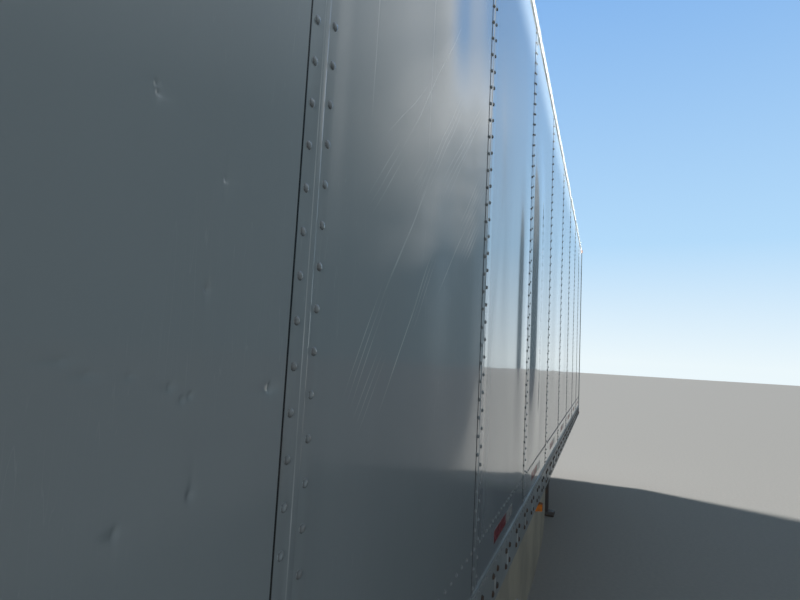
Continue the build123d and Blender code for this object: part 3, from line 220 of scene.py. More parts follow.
def add_piece(name, shapes, body, material, crease=40.0, cover=()):
    """Joins (points, faces) shapes into one closed mesh at the origin, welds its poles and seams, and
    rides it on a body."""
    points, faces, start = [], [], 0
    for shape_points, shape_faces in shapes:
        shape_points = np.asarray(shape_points, float).reshape(-1, 3)
        points.append(shape_points)
        faces += [row for part in shape_faces for row in (np.asarray(part) + start).tolist()]
        start += len(shape_points)
    mesh = bpy.data.meshes.new(name)
    mesh.from_pydata(np.vstack(points).tolist(), [], faces)
    shell = bmesh.new()
    shell.from_mesh(mesh)
    bmesh.ops.remove_doubles(shell, verts=shell.verts, dist=2e-6)
    bmesh.ops.recalc_face_normals(shell, faces=shell.faces)
    shell.to_mesh(mesh)
    shell.free()
    mesh.shade_smooth()
    mesh.set_sharp_from_angle(angle=radians(crease))
    piece = placed(name, mesh)
    mesh.materials.append(material)
    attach(piece, body)
    if cover:
        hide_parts(*cover)
    return piece


frame_black = finish(
    "cross member paint", (0.045, 0.047, 0.05), (0.1, 0.075, 0.06), rough=(0.45, 0.8), patch=(5.0, 0.25),
    film=(1.6, 0.8), bared=(0.16, 0.1, 0.07), wear=(0.003,))
dress(frame_black, "cross_members")

boards = finish(
    "floor boards", (0.3, 0.185, 0.095), (0.15, 0.09, 0.05), rough=(0.5, 0.75),
    patch=(1.2, 0.5, (0.5, 6.0, 6.0), 3.0), film=(1.5, 0.25), bump=0.25)
tree = boards.node_tree
strips = shade(tree, "TexBrick", {
    "Vector": place_on(tree), "Scale": 1.0, "Mortar Size": 0.0007, "Brick Width": 1.1, "Row Height": 0.032,
    "Color1": (1.12, 1.08, 1.0, 1), "Color2": (0.72, 0.7, 0.68, 1),
    "Mortar": (0.25, 0.22, 0.2, 1)}, offset=0.37)
patterned(boards, strips.outputs["Color"])
dress(boards, "floor_boards")


# Bottom rails: one aluminium extrusion down each side, painted with the body. Button-head rivets run
# along its upper edge, bolts and pads mark each floor member, and tape marks the trailer's length.

# The body's white paint and its aged tone are set to blue greys, darker than white: a painted shade, used on
# every side of the body.
body_white_in_shade = (0.385, 0.445, 0.475)
body_dull = (0.3, 0.345, 0.365)
rail_paint = finish(
    "rail paint", body_white_in_shade, body_dull, rough=(0.3, 0.5), coat=0.25, patch=(2.4, 0.4, (0.5, 1.0, 1.4)),
    film=(1.75, 0.9), film_colour=(0.22, 0.21, 0.19), bared=(0.6, 0.62, 0.63), wear=(0.0025, 0.7))
dress(rail_paint, "bottom_rails", "front_corner_posts", "nose_rails")


def grid_faces(rows, columns, ring=False):
    """Quads between neighbours of a grid kept row after row; a ring joins each row's last point to its
    first."""
    index = np.arange(rows * columns).reshape(rows, columns)
    if ring:
        index = np.hstack([index, index[:, :1]])
    return np.stack([index[:-1, :-1], index[:-1, 1:], index[1:, 1:], index[1:, :-1]], -1).reshape(-1, 4)


def turned(profile, sides, axis, side=1.0):
    """A profile of (along, radius) pairs turned about an axis, as on a lathe; ends of radius 0 close it,
    and a side of -1 points it the other way."""
    along, radius = np.asarray(profile, float).T
    angle = np.arange(sides) * 2 * pi / sides
    first = radius[:, None] * np.cos(angle)
    second = radius[:, None] * np.sin(angle)
    third = np.repeat(along[:, None] * side, sides, 1)
    order = {"x": (third, first, second), "y": (first, third, second), "z": (first, second, third)}[axis]
    return np.stack(order, -1).reshape(-1, 3), [grid_faces(len(along), sides, ring=True)]


def copies(shape, places):
    """The same shape at many places: its points plus each place, its faces numbered on."""
    points, faces = shape
    places = np.asarray(places, float).reshape(-1, 1, 3)
    steps = (np.arange(len(places)) * len(points)).reshape(-1, 1, 1)
    numbered = [(part[None] + steps).reshape(-1, part.shape[1]) for part in faces]
    return (points[None] + places).reshape(-1, 3), numbered


def dome(radius, rise, axis, side, sides):
    """A button head: a low dome on an axis, its flat back sunk half a millimetre into what it holds."""
    profile = [(-0.0005, 0), (-0.0005, radius), (rise / 4, radius), (rise * 0.8, radius * 0.66), (rise, 0)]
    return turned(profile, sides, axis, side)


def rows_of(x, y, z):
    """Every place that the given x, y and z make together."""
    return np.stack([a.ravel() for a in np.meshgrid(x, y, z, indexing="ij")], -1)


both_sides = (("right", -1.0), ("left", 1.0))
head_sides = {"right": 10, "left": 7}
rail_face, rail_rivet_z = 1.3, 1.268
panel_pitch, sheets = 1.2192, 13
rivet_pitch = 0.0635
wall_rear, wall_front = -7.9245, 7.9695
seam_x = wall_front - panel_pitch * np.arange(1, sheets + 1)
rail_rivet_x = np.arange(-7.89, 7.94, rivet_pitch)
rivet_paint = finish(
    "painted rivets", body_white_in_shade, (0.3, 0.32, 0.325), rough=(0.2, 0.36), coat=0.7, patch=(40.0, 0.35),
    film=(1.75, 0.7), bump=0.08)
tree = rivet_paint.node_tree
paint = tree.nodes["Principled BSDF"].inputs["Base Color"]
# The heads' sloped flanks are painted near black: a dirt ring and painted shade round each head.
facing = vectors(tree, "ABSOLUTE", shade(tree, "NewGeometry").outputs["Normal"])
facing = parts_of(tree, facing["Vector"])
crown = maths(tree, "MAXIMUM", maths(tree, "MAXIMUM", facing["X"], facing["Y"]), facing["Z"])
crown = shade(tree, "MapRange", {"Value": crown, "From Min": 0.66, "From Max": 0.93}).outputs[0]
tree.links.new(mixed(tree, crown, (0.06, 0.065, 0.07, 1), paint.links[0].from_socket), paint)
for side, sign in both_sides:
    head = dome(0.0068, 0.004, "y", sign, head_sides[side])
    row = rows_of(rail_rivet_x, [sign * rail_face], [rail_rivet_z])
    add_piece(side + "_rail_rivets", [copies(head, row)], "trailer", rivet_paint)


def slab(low, high, round_off, steps):
    """A block with rounded edges: each point is a corner of the inner block plus a step on a sphere."""
    low, high = np.asarray(low, float), np.asarray(high, float)
    half = (high - low) / 2 - round_off
    quarter = np.linspace(0, pi / 2, steps + 1)
    around = np.concatenate([quarter + k * pi / 2 for k in range(4)])
    corner = np.repeat(np.array([[1, 1], [-1, 1], [-1, -1], [1, -1]]), steps + 1, 0)
    up = np.concatenate([quarter[::-1] * -1, quarter])
    level = np.repeat([-1, 1], steps + 1)
    x = corner[None, :, 0] * half[0] + round_off * np.cos(up)[:, None] * np.cos(around)
    y = corner[None, :, 1] * half[1] + round_off * np.cos(up)[:, None] * np.sin(around)
    z = (level * half[2] + round_off * np.sin(up))[:, None] + 0 * x
    points = np.stack([x, y, z], -1).reshape(-1, 3) + (low + high) / 2
    size = len(around)
    ends = np.array([np.arange(4) * (steps + 1), np.arange(4) * (steps + 1) + (len(up) - 1) * size])
    return points, [grid_faces(len(up), size, ring=True), ends]


def side_slab(sign, low, high, round_off, steps):
    """A slab given for the left side, on the side that the sign names."""
    y = sorted((sign * low[1], sign * high[1]))
    return slab((low[0], y[0], low[2]), (high[0], y[1], high[2]), round_off, steps)


def hexagon_head(radius, rise, axis, side=1.0):
    """A bolt's head on its washer: a thin round disc under a six-sided prism with a chamfered top."""
    washer = [(-0.0005, 0), (-0.0005, radius * 1.25), (rise * 0.2, radius * 1.25), (rise * 0.22, 0)]
    prism = [(rise * 0.1, 0), (rise * 0.1, radius), (rise * 0.88, radius), (rise, radius * 0.86), (rise, 0)]
    return joined(turned(washer, 12, axis, side), turned(prism, 6, axis, side))


def joined(*shapes):
    """Several shapes as one: their points in a row, their faces numbered on."""
    starts = np.cumsum([0] + [len(points) for points, _ in shapes[:-1]])
    return np.vstack([points for points, _ in shapes]), [
        part + start for (_, faces), start in zip(shapes, starts) for part in faces]


member_x = -7.7721 + 0.3048 * np.arange(52)
bolt_step, rail_bolt_z = 0.046, (1.157, 1.224)
pad_half, pad_low, pad_high = 0.012, 1.146, 1.206
bolt_black = finish(
    "rail bolts", (0.035, 0.034, 0.034), (0.09, 0.055, 0.04), rough=(0.45, 0.75), patch=(40.0, 0.4),
    film=(1.5, 0.4))
for side, sign in both_sides:
    bolt = hexagon_head(0.0105, 0.007, "y", sign)
    columns = np.concatenate([member_x - bolt_step, member_x + bolt_step])
    rows = rows_of(columns, [sign * rail_face], rail_bolt_z)
    add_piece(side + "_rail_bolts", [copies(bolt, rows)], "trailer", bolt_black)
    pads = [side_slab(sign, (x - pad_half, rail_face - 0.0004, pad_low),
                      (x + pad_half, rail_face + 0.005, pad_high), 0.0035, 3) for x in member_x]
    add_piece(side + "_rail_pads", pads, "trailer", rail_paint)

tapes = []
# The white tape's colours are greys close to the body's: a painted shade of white tape.
for name, clean, aged, dusty in (("red", (0.34, 0.012, 0.014), (0.2, 0.025, 0.025), 0.35),
                                 ("white", (0.48, 0.5, 0.5), (0.34, 0.35, 0.34), 0.45)):
    tape = finish(
        name + " marking tape", clean, aged, rough=(0.25, 0.5), coat=0.3, patch=(30.0, 0.3),
        film=(1.7, dusty), bump=0.05)
    tree = tape.node_tree
    cells = shade(tree, "TexVoronoi", {"Vector": place_on(tree), "Scale": 260.0,
                                       "Randomness": 0.15}, feature="DISTANCE_TO_EDGE").outputs["Distance"]
    patterned(tape, ramp(tree, cells, (0.03, 0.72), (0.12, 1.0)))
    tapes.append(tape)
tape_red, tape_white = tapes

nose_face = 8.0795
tape_face, tape_thick, tape_low, tape_high = 1.2938, 0.0007, 1.337, 1.388
red_length, white_length = 0.2794, 0.1778
red_start = nose_face - 8.25 + panel_pitch * np.arange(-6, 7)
for side, sign in both_sides:
    for label, material, starts, length in (
            ("_tape_red", tape_red, red_start, red_length),
            ("_tape_white", tape_white, red_start + red_length, white_length)):
        strips = [side_slab(sign, (x, tape_face, tape_low), (x + length, tape_face + tape_thick, tape_high),
                            0.0002, 1) for x in starts]
        add_piece(side + label, strips, "trailer", material)


# Side walls: thirteen prepainted aluminium sheets a side, each four feet wide, lapped over the one
# behind and riveted to posts in two staggered columns. Years of loads have left them wavy and dented.

wall_foot, wall_top = 1.253, 4.045
wall_face, wall_inside = 1.294, 1.246
lap_rise, lap_width = 0.0013, 0.086
ridge_rise, ridge_start, ridge_end, flank = 0.0006, 0.0362, 0.0518, 0.0016
coarse_pitch, dent_pitch = 0.08, 0.0018
fade_foot, fade_top = (1.4, 1.52), (4.03, 3.98)
deepest, highest = -0.006, 0.017
seam_steps = (-0.004, -0.0012, -0.0002, 0.0003, 0.002, 0.02, 0.0355, 0.0362, 0.0378, 0.0385, 0.0495, 0.0502,
              0.0518, 0.0525, 0.07, 0.086, 0.108)


def smooth_step(value, start, end):
    """0 before start, 1 after end, and an even S between."""
    share = np.clip((value - start) / (end - start), 0, 1)
    return share * share * (3 - 2 * share)


def swell(x, z, at_x, at_z, wide, tall, rise, lean=0.0):
    """A soft bump or dent: a bell in both directions, leaning with height."""
    return rise * np.exp(-((x - at_x - lean * (z - at_z)) / wide) ** 2 - ((z - at_z) / tall) ** 2)


def bulge(x, z, at_x, at_z, wide, tall, rise):
    """A sheet pushed out between its posts: a squared cosine along, a flat-topped arch up, 0 outside."""
    along = np.clip((x - at_x) / wide, -1, 1)
    up = np.clip((z - at_z) / tall, -1, 1)
    return rise * np.cos(along * pi / 2) ** 2 * (1 - up ** 4) ** 2


def wall_relief(x, z, dice, dents, bulges):
    """How far the sheet stands off its plane: laps and ridges at seams, waves between posts, and dents."""
    bay = np.floor((wall_front - x) / panel_pitch)
    within = wall_front - x - bay * panel_pitch
    ahead = panel_pitch - within
    seamed = wall_front - panel_pitch * sheets < x
    near_seam = smooth_step(ahead, lap_width + 0.022, lap_width) * seamed
    waver = 0.0005 * np.sin(9 * z + 2 * bay)
    ridge = smooth_step(ahead - waver, ridge_start, ridge_start + flank)
    ridge = ridge * smooth_step(ahead - waver, ridge_end, ridge_end - flank)
    relief = lap_rise * near_seam + ridge_rise * ridge * seamed
    tall = (z - wall_foot) / (wall_top - wall_foot)
    held = np.sin(pi * np.clip(within / (panel_pitch / 2), 0, 2)) ** 2
    for number in range(sheets + 1):
        chosen = bay == number
        for half in range(2):
            local = chosen & ((within > panel_pitch / 2) == bool(half))
            swing, lean, knot = dice.uniform(-1, 1), dice.uniform(0.25, 0.75), dice.uniform(1.5, 3.5)
            wave = swing * np.sin(pi * tall) + 0.4 * np.sin(knot * pi * (tall + lean))
            relief = relief + np.where(local, 0.0016 * held * wave, 0.0)
    ranges = ((wall_rear, wall_front), (wall_foot, wall_top), (0.05, 0.16), (0.15, 0.7),
              (-0.0006, 0.0006), (-0.2, 0.2))
    for _ in range(150):
        relief = relief + swell(x, z, *[dice.uniform(*span) for span in ranges])
    for dent in dents:
        relief = relief + swell(x, z, *dent)
    for pushed in bulges:
        relief = relief + bulge(x, z, *pushed)
    edge = np.minimum(smooth_step(z, *fade_foot), smooth_step(z, *fade_top))
    return np.clip(relief * edge + lap_rise * near_seam * (1 - edge), deepest, highest)


def steps_round(places, reach=0.0022):
    """Five grid lines by each place, so that a small dent there has its own shape."""
    return (np.asarray(places, float).reshape(-1, 1) + reach * np.array([-2.6, -1.3, 0.0, 1.3, 2.6])).ravel()


def thinned(steps, least):
    """Sorted steps without those that come closer to the last kept one than least."""
    kept = []
    for step in np.sort(steps):
        if not kept or step - kept[-1] >= least:
            kept.append(step)
    return np.array(kept)


def columns_for(fine, dents):
    """Where the grid has its columns: closer at each lap's step, ridge and dent, and along the stretch
    from fine_start to fine_end, which is seen closest."""
    fine_start, fine_end = -2.6, 2.0
    steps = [wall_rear, fine_start, fine_end, wall_front]
    steps += list(thinned(steps_round([dent[0] for dent in dents]), dent_pitch))
    for seam in seam_x[:-1]:
        steps += [seam + step for step in seam_steps]
    steps = np.unique(np.round(steps, 6))
    pitch = [fine if fine_start - 0.01 < a < fine_end - 0.01 else coarse_pitch for a in steps[:-1]]
    filled = [np.linspace(a, b, max(1, int(np.ceil((b - a) / step))) + 1)[:-1]
              for a, b, step in zip(steps[:-1], steps[1:], pitch)]
    return np.concatenate(filled + [steps[-1:]])


def wall_shell(sign, fine, rows, seed, dents, bulges):
    """One closed wall: an outer grid with its relief, and a flat inner face two rows high, joined round
    the edges."""
    dice = np.random.default_rng(seed)
    x = columns_for(fine, dents)
    z = np.linspace(wall_foot, wall_top, rows)
    if len(dents):
        z = thinned(np.concatenate([z, steps_round([dent[1] for dent in dents])]), dent_pitch)
        z[-1] = wall_top
    across, up = np.meshgrid(x, z)
    outer = sign * (wall_face + wall_relief(across, up, dice, dents, bulges))
    rows, count = len(z), across.size
    inside = np.stack([np.tile(x, 2), np.full(2 * len(x), sign * wall_inside),
                       np.repeat([wall_foot, wall_top], len(x))], -1)
    index = np.arange(count).reshape(rows, len(x))
    back = np.arange(2 * len(x)).reshape(2, len(x)) + count
    foot = np.stack([index[0, :-1], back[0, :-1], back[0, 1:], index[0, 1:]], -1)
    crest = np.stack([index[-1, :-1], index[-1, 1:], back[-1, 1:], back[-1, :-1]], -1)
    ends = [np.append(index[:, edge], [back[1, edge], back[0, edge]])[None] for edge in (0, -1)]
    points = np.vstack([np.stack([across, outer, up], -1).reshape(-1, 3), inside])
    return points, [grid_faces(rows, len(x)), grid_faces(2, len(x)) + count, foot, crest, *ends]


small, deep = 0.0034, -0.0022
photo_dents = [
    (-2.0375, 2.321, small, small, deep), (-2.0408, 2.329, 0.003, 0.003, deep),
    (-1.933, 2.269, small, 0.004, deep), (-1.95, 2.1427, small, 0.005, -0.0026),
    (-2.1072, 2.068, 0.006, 0.0025, -0.0014), (-2.0837, 2.0558, 0.006, 0.003, -0.0014),
    (-2.0401, 2.0538, 0.004, 0.003, -0.0014), (-1.9906, 2.0418, 0.004, 0.004, deep),
    (-1.9727, 2.028, small, small, deep), (-1.9618, 2.0313, 0.004, small, deep),
    (-1.8187, 2.0329, 0.0055, 0.0075, -0.0036), (-1.9492, 1.9293, 0.0045, 0.007, -0.0026),
    (-2.0406, 1.9159, 0.0045, 0.006, -0.0022),
]
photo_bulges = [
    (1.05, 2.42, 0.39, 1.12, 0.0172), (0.47, 2.3, 0.25, 0.9, 0.006), (-1.1, 3.2, 0.26, 0.5, 0.0035),
    (-0.95, 2.2, 0.3, 0.45, -0.0028), (2.5, 2.5, 0.4, 0.9, 0.005), (3.7, 2.3, 0.4, 0.9, -0.004),
]

drawn_line, give, take = effect(
    "drawn line", ["Mask"], Place=(0, 0, 0), From=(0, 0, 0), Along=(1, 0, 0), Across=(0, 0, 1), Length=1.0,
    Width=0.002, Spread=0.03)
tree = drawn_line
gone = vectors(tree, "SUBTRACT", give["Place"], give["From"])["Vector"]
run = vectors(tree, "DOT_PRODUCT", gone, give["Along"])["Value"]
off = vectors(tree, "DOT_PRODUCT", gone, give["Across"])["Value"]
left = maths(tree, "SUBTRACT", give["Length"], run)
nearest = maths(tree, "ABSOLUTE", maths(tree, "WRAP", off, 0.009, -0.009))
thin = maths(tree, "SUBTRACT", 1.25, maths(tree, "DIVIDE", nearest, give["Width"]), clamp=True)
inside = maths(tree, "LESS_THAN", maths(tree, "ABSOLUTE", off), give["Spread"])
ends = [product(tree, share, 8.0, clamp=True) for share in (run, left)]
ends = product(tree, *ends)
tree.links.new(product(tree, product(tree, thin, inside), ends), take["Mask"])

paint_relief, give, take = effect("paint relief", ["Height", "Scratch"], Peel=0.35, Scratches=1.0)
tree = paint_relief
place = place_on(tree)
peel = noise(tree, place, 260.0)["Fac"]
lines = None
for turn, scale in ((0.45, 1.0), (-0.3, 0.8), (1.25, 1.3)):
    leaned = shade(tree, "Mapping", {"Vector": place, "Rotation": (0, turn, 0),
                                     "Scale": (26.0 * scale, 1.0, 0.9 * scale)}).outputs["Vector"]
    wisp = noise(tree, leaned, 3.0, 1.0)["Fac"]
    crest = maths(tree, "ABSOLUTE", maths(tree, "SUBTRACT", wisp, 0.5))
    thin = maths(tree, "SUBTRACT", 1.0, product(tree, crest, 160.0), clamp=True)
    rare = noise(tree, place, 1.1 + turn)["Fac"]
    kept = product(tree, thin, sloped(tree, rare, 7.0, -3.9, clamp=True))
    lines = kept if lines is None else maths(tree, "MAXIMUM", lines, kept)
marked = product(tree, lines, give["Scratches"])
tree.links.new(marked, take["Scratch"])
tree.links.new(sloped(tree, marked, -1.2, product(tree, peel, give["Peel"])), take["Height"])

wall_paint, tree, shader = blank("wall sheet paint")
blotch = use(tree, patches, Scale=1.1, Share=0.45, Stretch=(1.0, 1.0, 0.45), Sharpness=2.2)
streak = use(tree, patches, Scale=2.6, Share=0.22, Stretch=(3.0, 1.0, 0.25), Sharpness=2.0)
relief = use(tree, paint_relief, Peel=0.3, Scratches=0.3)
colour = mixed(tree, blotch["Mask"], (*body_white_in_shade, 1), (0.335, 0.395, 0.425, 1))
colour = mixed(tree, product(tree, streak["Mask"], 0.25), colour, (0.36, 0.39, 0.39, 1))
place = place_on(tree)
spot = parts_of(tree, place)
behind = maths(tree, "SUBTRACT", spot["X"], seam_x[0] - 0.0016)
behind = product(tree, maths(tree, "FRACT", maths(tree, "DIVIDE", behind, panel_pitch)), panel_pitch)
# A thin dark line at each lap's step: a painted shadow of the step.
lap_step_shadow = ramp(tree, maths(tree, "DIVIDE", behind, 0.16), (0.0, 0.03), (0.013, 0.05), (0.019, 1.0), (1.0, 1.0))
rusty = use(tree, patches, Scale=9.0, Share=0.35, Stretch=(3.0, 1.0, 0.6), Sharpness=5.0)["Mask"]
rim = ramp(tree, maths(tree, "DIVIDE", behind, 0.1), (0.0, 1.0), (0.1, 0.35), (0.75, 0.25), (0.95, 0.0))
colour = mixed(tree, product(tree, rim, product(tree, rusty, 0.5)), colour, (0.26, 0.27, 0.26, 1))
scratch_ends = [
    (-0.975, 3.032, -1.4, 2.51, 0.003), (-1.4, 2.51, -1.545, 2.343, 0.0016),
    (-0.924, 2.824, -1.24, 2.48, 0.0022), (-1.215, 2.5, -1.47, 2.18, 0.0032),
    (-1.45, 2.205, -1.6, 1.99, 0.0016), (-0.673, 2.909, -1.1, 2.509, 0.0024),
    (-0.7, 2.87, -1.06, 2.48, 0.0018), (-0.609, 2.676, -0.83, 2.48, 0.003),
    (-0.64, 2.7, -0.9, 2.44, 0.002), (-0.8, 2.5, -1.112, 2.214, 0.0022),
    (-0.647, 2.542, -0.845, 2.362, 0.0028), (-0.69, 2.54, -0.88, 2.35, 0.0018),
    (-1.161, 2.333, -1.462, 1.957, 0.0022), (-1.13, 2.34, -1.3, 2.14, 0.0016),
    (-1.44, 2.09, -1.56, 1.95, 0.0018), (-1.244, 2.729, -1.484, 2.507, 0.0018),
    (-1.234, 2.542, -1.328, 2.446, 0.0024), (-1.2, 2.56, -1.3, 2.43, 0.0016),
]
post_lines = [(-1.56, 4.0, -1.558, 2.5, 0.0022), (-1.235, 4.0, -1.23, 2.5, 0.0018)]
# Pale lines along both edges of each seam ridge: partly paint worn to the metal, partly a painted highlight
# of the ridge.
ridge_wear_and_highlight = ramp(tree, maths(tree, "DIVIDE", behind, 0.1), (0.0, 0.0), (0.372, 0.0), (0.38, 1.0),
                 (0.386, 1.0), (0.394, 0.0), (0.508, 0.0), (0.516, 1.0), (0.522, 1.0), (0.53, 0.0))
ridge_wear_and_highlight = product(tree, ridge_wear_and_highlight, sloped(tree, blotch["Grain"], 2.4, -0.5, clamp=True))
shake = vectors(tree, "SUBTRACT", noise(tree, place, 2.6)["Color"], (0.5, 0.5, 0.5))["Vector"]
shaken = vectors(tree, "MULTIPLY_ADD", shake, (0.03, 0.03, 0.03), place)["Vector"]
lines = None
for number, (start_x, start_z, end_x, end_z, width) in enumerate(scratch_ends + post_lines):
    way = Vector((end_x - start_x, 0, end_z - start_z))
    across = Vector((-way.z, 0, way.x)).normalized()
    spread = 0.008 if number >= len(scratch_ends) else 0.012 + 0.009 * (number % 3)
    line = use(tree, drawn_line, Place=shaken, From=(start_x, 0, start_z), Along=way.normalized(),
               Across=across, Length=way.length, Width=width * 0.9, Spread=spread)["Mask"]
    lines = line if lines is None else maths(tree, "MAXIMUM", lines, line)
faded = sloped(tree, noise(tree, place, 9.0, 3.0)["Fac"], 3.0, -0.6, clamp=True)
right_side = maths(tree, "LESS_THAN", spot["Y"], -1.28)
lines = product(tree, product(tree, lines, faded), right_side)
scratches_and_ridge_highlight = maths(tree, "MAXIMUM", maths(tree, "MAXIMUM", relief["Scratch"], ridge_wear_and_highlight), lines)
colour = mixed(tree, product(tree, scratches_and_ridge_highlight, 0.9), colour, (0.72, 0.78, 0.81, 1))
colour = mixed(tree, 1.0, colour, lap_step_shadow, "MULTIPLY")
dust = use(tree, road_film, Reach=2.1, Amount=0.55, Scale=1.7)["Mask"]
colour = mixed(tree, dust, colour, (0.25, 0.25, 0.235, 1))
gloss = between(tree, blotch["Mask"], 0.14, 0.24)
height = sloped(tree, scratches_and_ridge_highlight, -0.8, relief["Height"])
lift = shade(tree, "Bump", {"Height": height, "Strength": 0.1, "Distance": 0.001}).outputs["Normal"]
feed(tree, shader, {"Base Color": colour, "Roughness": sloped(tree, dust, 0.35, gloss), "Coat Weight": 0.9,
                    "Coat Roughness": 0.035, "Normal": lift})

lining = finish(
    "wall lining", (0.6, 0.57, 0.5), (0.42, 0.38, 0.31), rough=(0.5, 0.7),
    patch=(1.6, 0.4, (1.0, 1.0, 0.5)), film=(1.8, 0.3), bump=0.05)
for side, sign, fine, rows, seed, dents, bulges in (
        ("right", -1.0, 0.03, 78, 11, photo_dents, photo_bulges), ("left", 1.0, 0.06, 60, 23, (), ())):
    shell = wall_shell(sign, fine, rows, seed, dents, bulges)
    wall = add_piece(side + "_wall_skin", [shell], "trailer", wall_paint,
                     cover=("side_panels",))
    wall.data.materials.append(lining)
    middle = np.empty(len(wall.data.polygons) * 3)
    wall.data.polygons.foreach_get("center", middle)
    inner = (np.abs(middle.reshape(-1, 3)[:, 1]) < wall_inside + 0.001).astype(np.int32)
    wall.data.polygons.foreach_set("material_index", inner)

seam_rivet_z, foot_rivet_z = np.arange(1.31, 4.02, 0.0625), 1.434
lap_columns = ((0.015, 0.0), (0.067, 0.021))
lap_middle = 0.041
for side, sign in both_sides:
    head = dome(0.0068, 0.0042, "y", sign, head_sides[side])
    face = sign * (wall_face + lap_rise)
    laps = [rows_of(seam_x[:-1] + step, [face], seam_rivet_z + rise) for step, rise in lap_columns]
    ends = rows_of([wall_rear + 0.03, wall_front - 0.03], [sign * wall_face], seam_rivet_z)
    foot = rows_of(rail_rivet_x, [sign * wall_face], [foot_rivet_z])
    clear = np.min(np.abs(foot[:, :1] - (seam_x[:-1] + lap_middle)), axis=1) > 0.045
    rows = np.vstack([*laps, ends, foot[clear]])
    add_piece(side + "_seam_rivets", [copies(head, rows)], "trailer", rivet_paint)


# Top rails, roof and bows: an aluminium rail caps each wall, and a one-piece sheet is bonded over
# galvanised bows and riveted down on the rails. The rails' pale paint is a painted sunlit band.

cap_paint_with_painted_sun = finish(
    "top rail paint", (0.8, 0.82, 0.82), (0.62, 0.64, 0.64), rough=(0.35, 0.5), coat=0.15,
    patch=(3.0, 0.3, (1.0, 1.0, 0.5)), bared=(0.5, 0.5, 0.5), wear=(0.002, 0.5), bump=0.06)
roof_paint = finish(
    "roof sheet", (0.66, 0.68, 0.68), (0.42, 0.42, 0.4),
    patch=(1.3, 0.45, (0.6, 1.4, 1.0), 3.0), bump=0.1)
galvanised = finish(
    "galvanised steel", (0.46, 0.48, 0.49), (0.62, 0.63, 0.63), rough=(0.38, 0.55), metal=0.75,
    patch=(28.0, 0.5, (1, 1, 1), 9.0), film=(1.5, 0.5), bump=0.08)
cap_row_z = 4.045
roof_row_x, roof_row_y, roof_row_z = np.arange(-8.02, 8.03, 0.0762), 1.262, 4.1024
for side, sign in both_sides:
    head = dome(0.0055, 0.003, "y", sign, 7)
    roof_head = dome(0.006, 0.003, "z", 1.0, 7)
    rail_row = copies(head, rows_of(rail_rivet_x, [sign * rail_face], [cap_row_z]))
    edge_row = copies(roof_head, rows_of(roof_row_x, [sign * roof_row_y], [roof_row_z]))
    add_piece(side + "_roof_rivets", [rail_row, edge_row], "trailer", rivet_paint)
dress(cap_paint_with_painted_sun, "top_rails")
dress(roof_paint, "roof_sheet")
dress(galvanised, "roof_bows")


# Front wall: two smooth sheets between round corner posts, with an upper and a lower rail, all
# riveted. The paint is the body's.

dress(wall_paint, "nose_panels")
head = dome(0.006, 0.0034, "x", 1.0, 8)
nose_y, post_x, nose_sheet = np.arange(-1.15, 1.16, rivet_pitch), 7.985, nose_face - 0.006
nose_columns = rows_of([nose_sheet], [-1.165, -0.028, 0.028, 1.165], np.arange(1.47, 4.02, rivet_pitch))
nose_rail_rows = rows_of([nose_face], nose_y, [1.4, 4.048])
low_row = rows_of([nose_face], nose_y[np.abs(nose_y) > 0.36], [1.205])
post_rows = rows_of([post_x], [-rail_face, rail_face], np.arange(1.14, 4.09, rivet_pitch))
side_head = [copies(dome(0.006, 0.0034, "y", sign, 8), post_rows[np.sign(post_rows[:, 1]) == sign])
             for sign in (-1.0, 1.0)]
add_piece("nose_rivets", [copies(head, np.vstack([nose_columns, nose_rail_rows, low_row])), *side_head],
          "trailer", rivet_paint)


# Rear frame and doors: a welded steel frame, painted, with plywood-core doors skinned in prepainted
# sheet. Five hinge straps a door, galvanised lock rods in guides, cams that bite in their keepers.

frame_paint = finish(
    "rear frame paint", (0.5, 0.53, 0.54), (0.36, 0.37, 0.36), patch=(5.0, 0.3),
    film=(1.8, 0.8), bared=(0.22, 0.12, 0.07), wear=(0.004, 0.9))
door_paint = finish(
    "door sheet paint", body_white_in_shade, (0.4, 0.44, 0.45), rough=(0.22, 0.4), coat=0.3,
    patch=(2.0, 0.4, (1.0, 1.0, 0.4), 2.5), film=(2.2, 0.6), film_colour=(0.25, 0.25, 0.235), bump=0.05)
cast_steel = finish(
    "cast fittings", (0.3, 0.31, 0.32), (0.2, 0.15, 0.12), rough=(0.45, 0.7), metal=0.6,
    patch=(14.0, 0.35), film=(1.6, 0.5), bared=(0.5, 0.5, 0.5), wear=(0.002,))
rubber = finish(
    "black rubber", (0.022, 0.022, 0.023), (0.05, 0.048, 0.045), rough=(0.6, 0.85), patch=(9.0, 0.4),
    film=(1.2, 0.6), bump=0.2)
rear = -8.0745
door_in, door_out, door_foot, door_top = 0.0008, 1.2182, 1.2842, 3.9462
tape_back, tape_front = rear - 0.0005, rear + 0.0002
strap_heights = 1.478 + 0.5685 * np.arange(5)
guide_heights = (1.4472, 2.2434, 2.9866, 3.7828)
seal_rubber = rubber.copy()
seal_rubber.name = "door seal rubber"
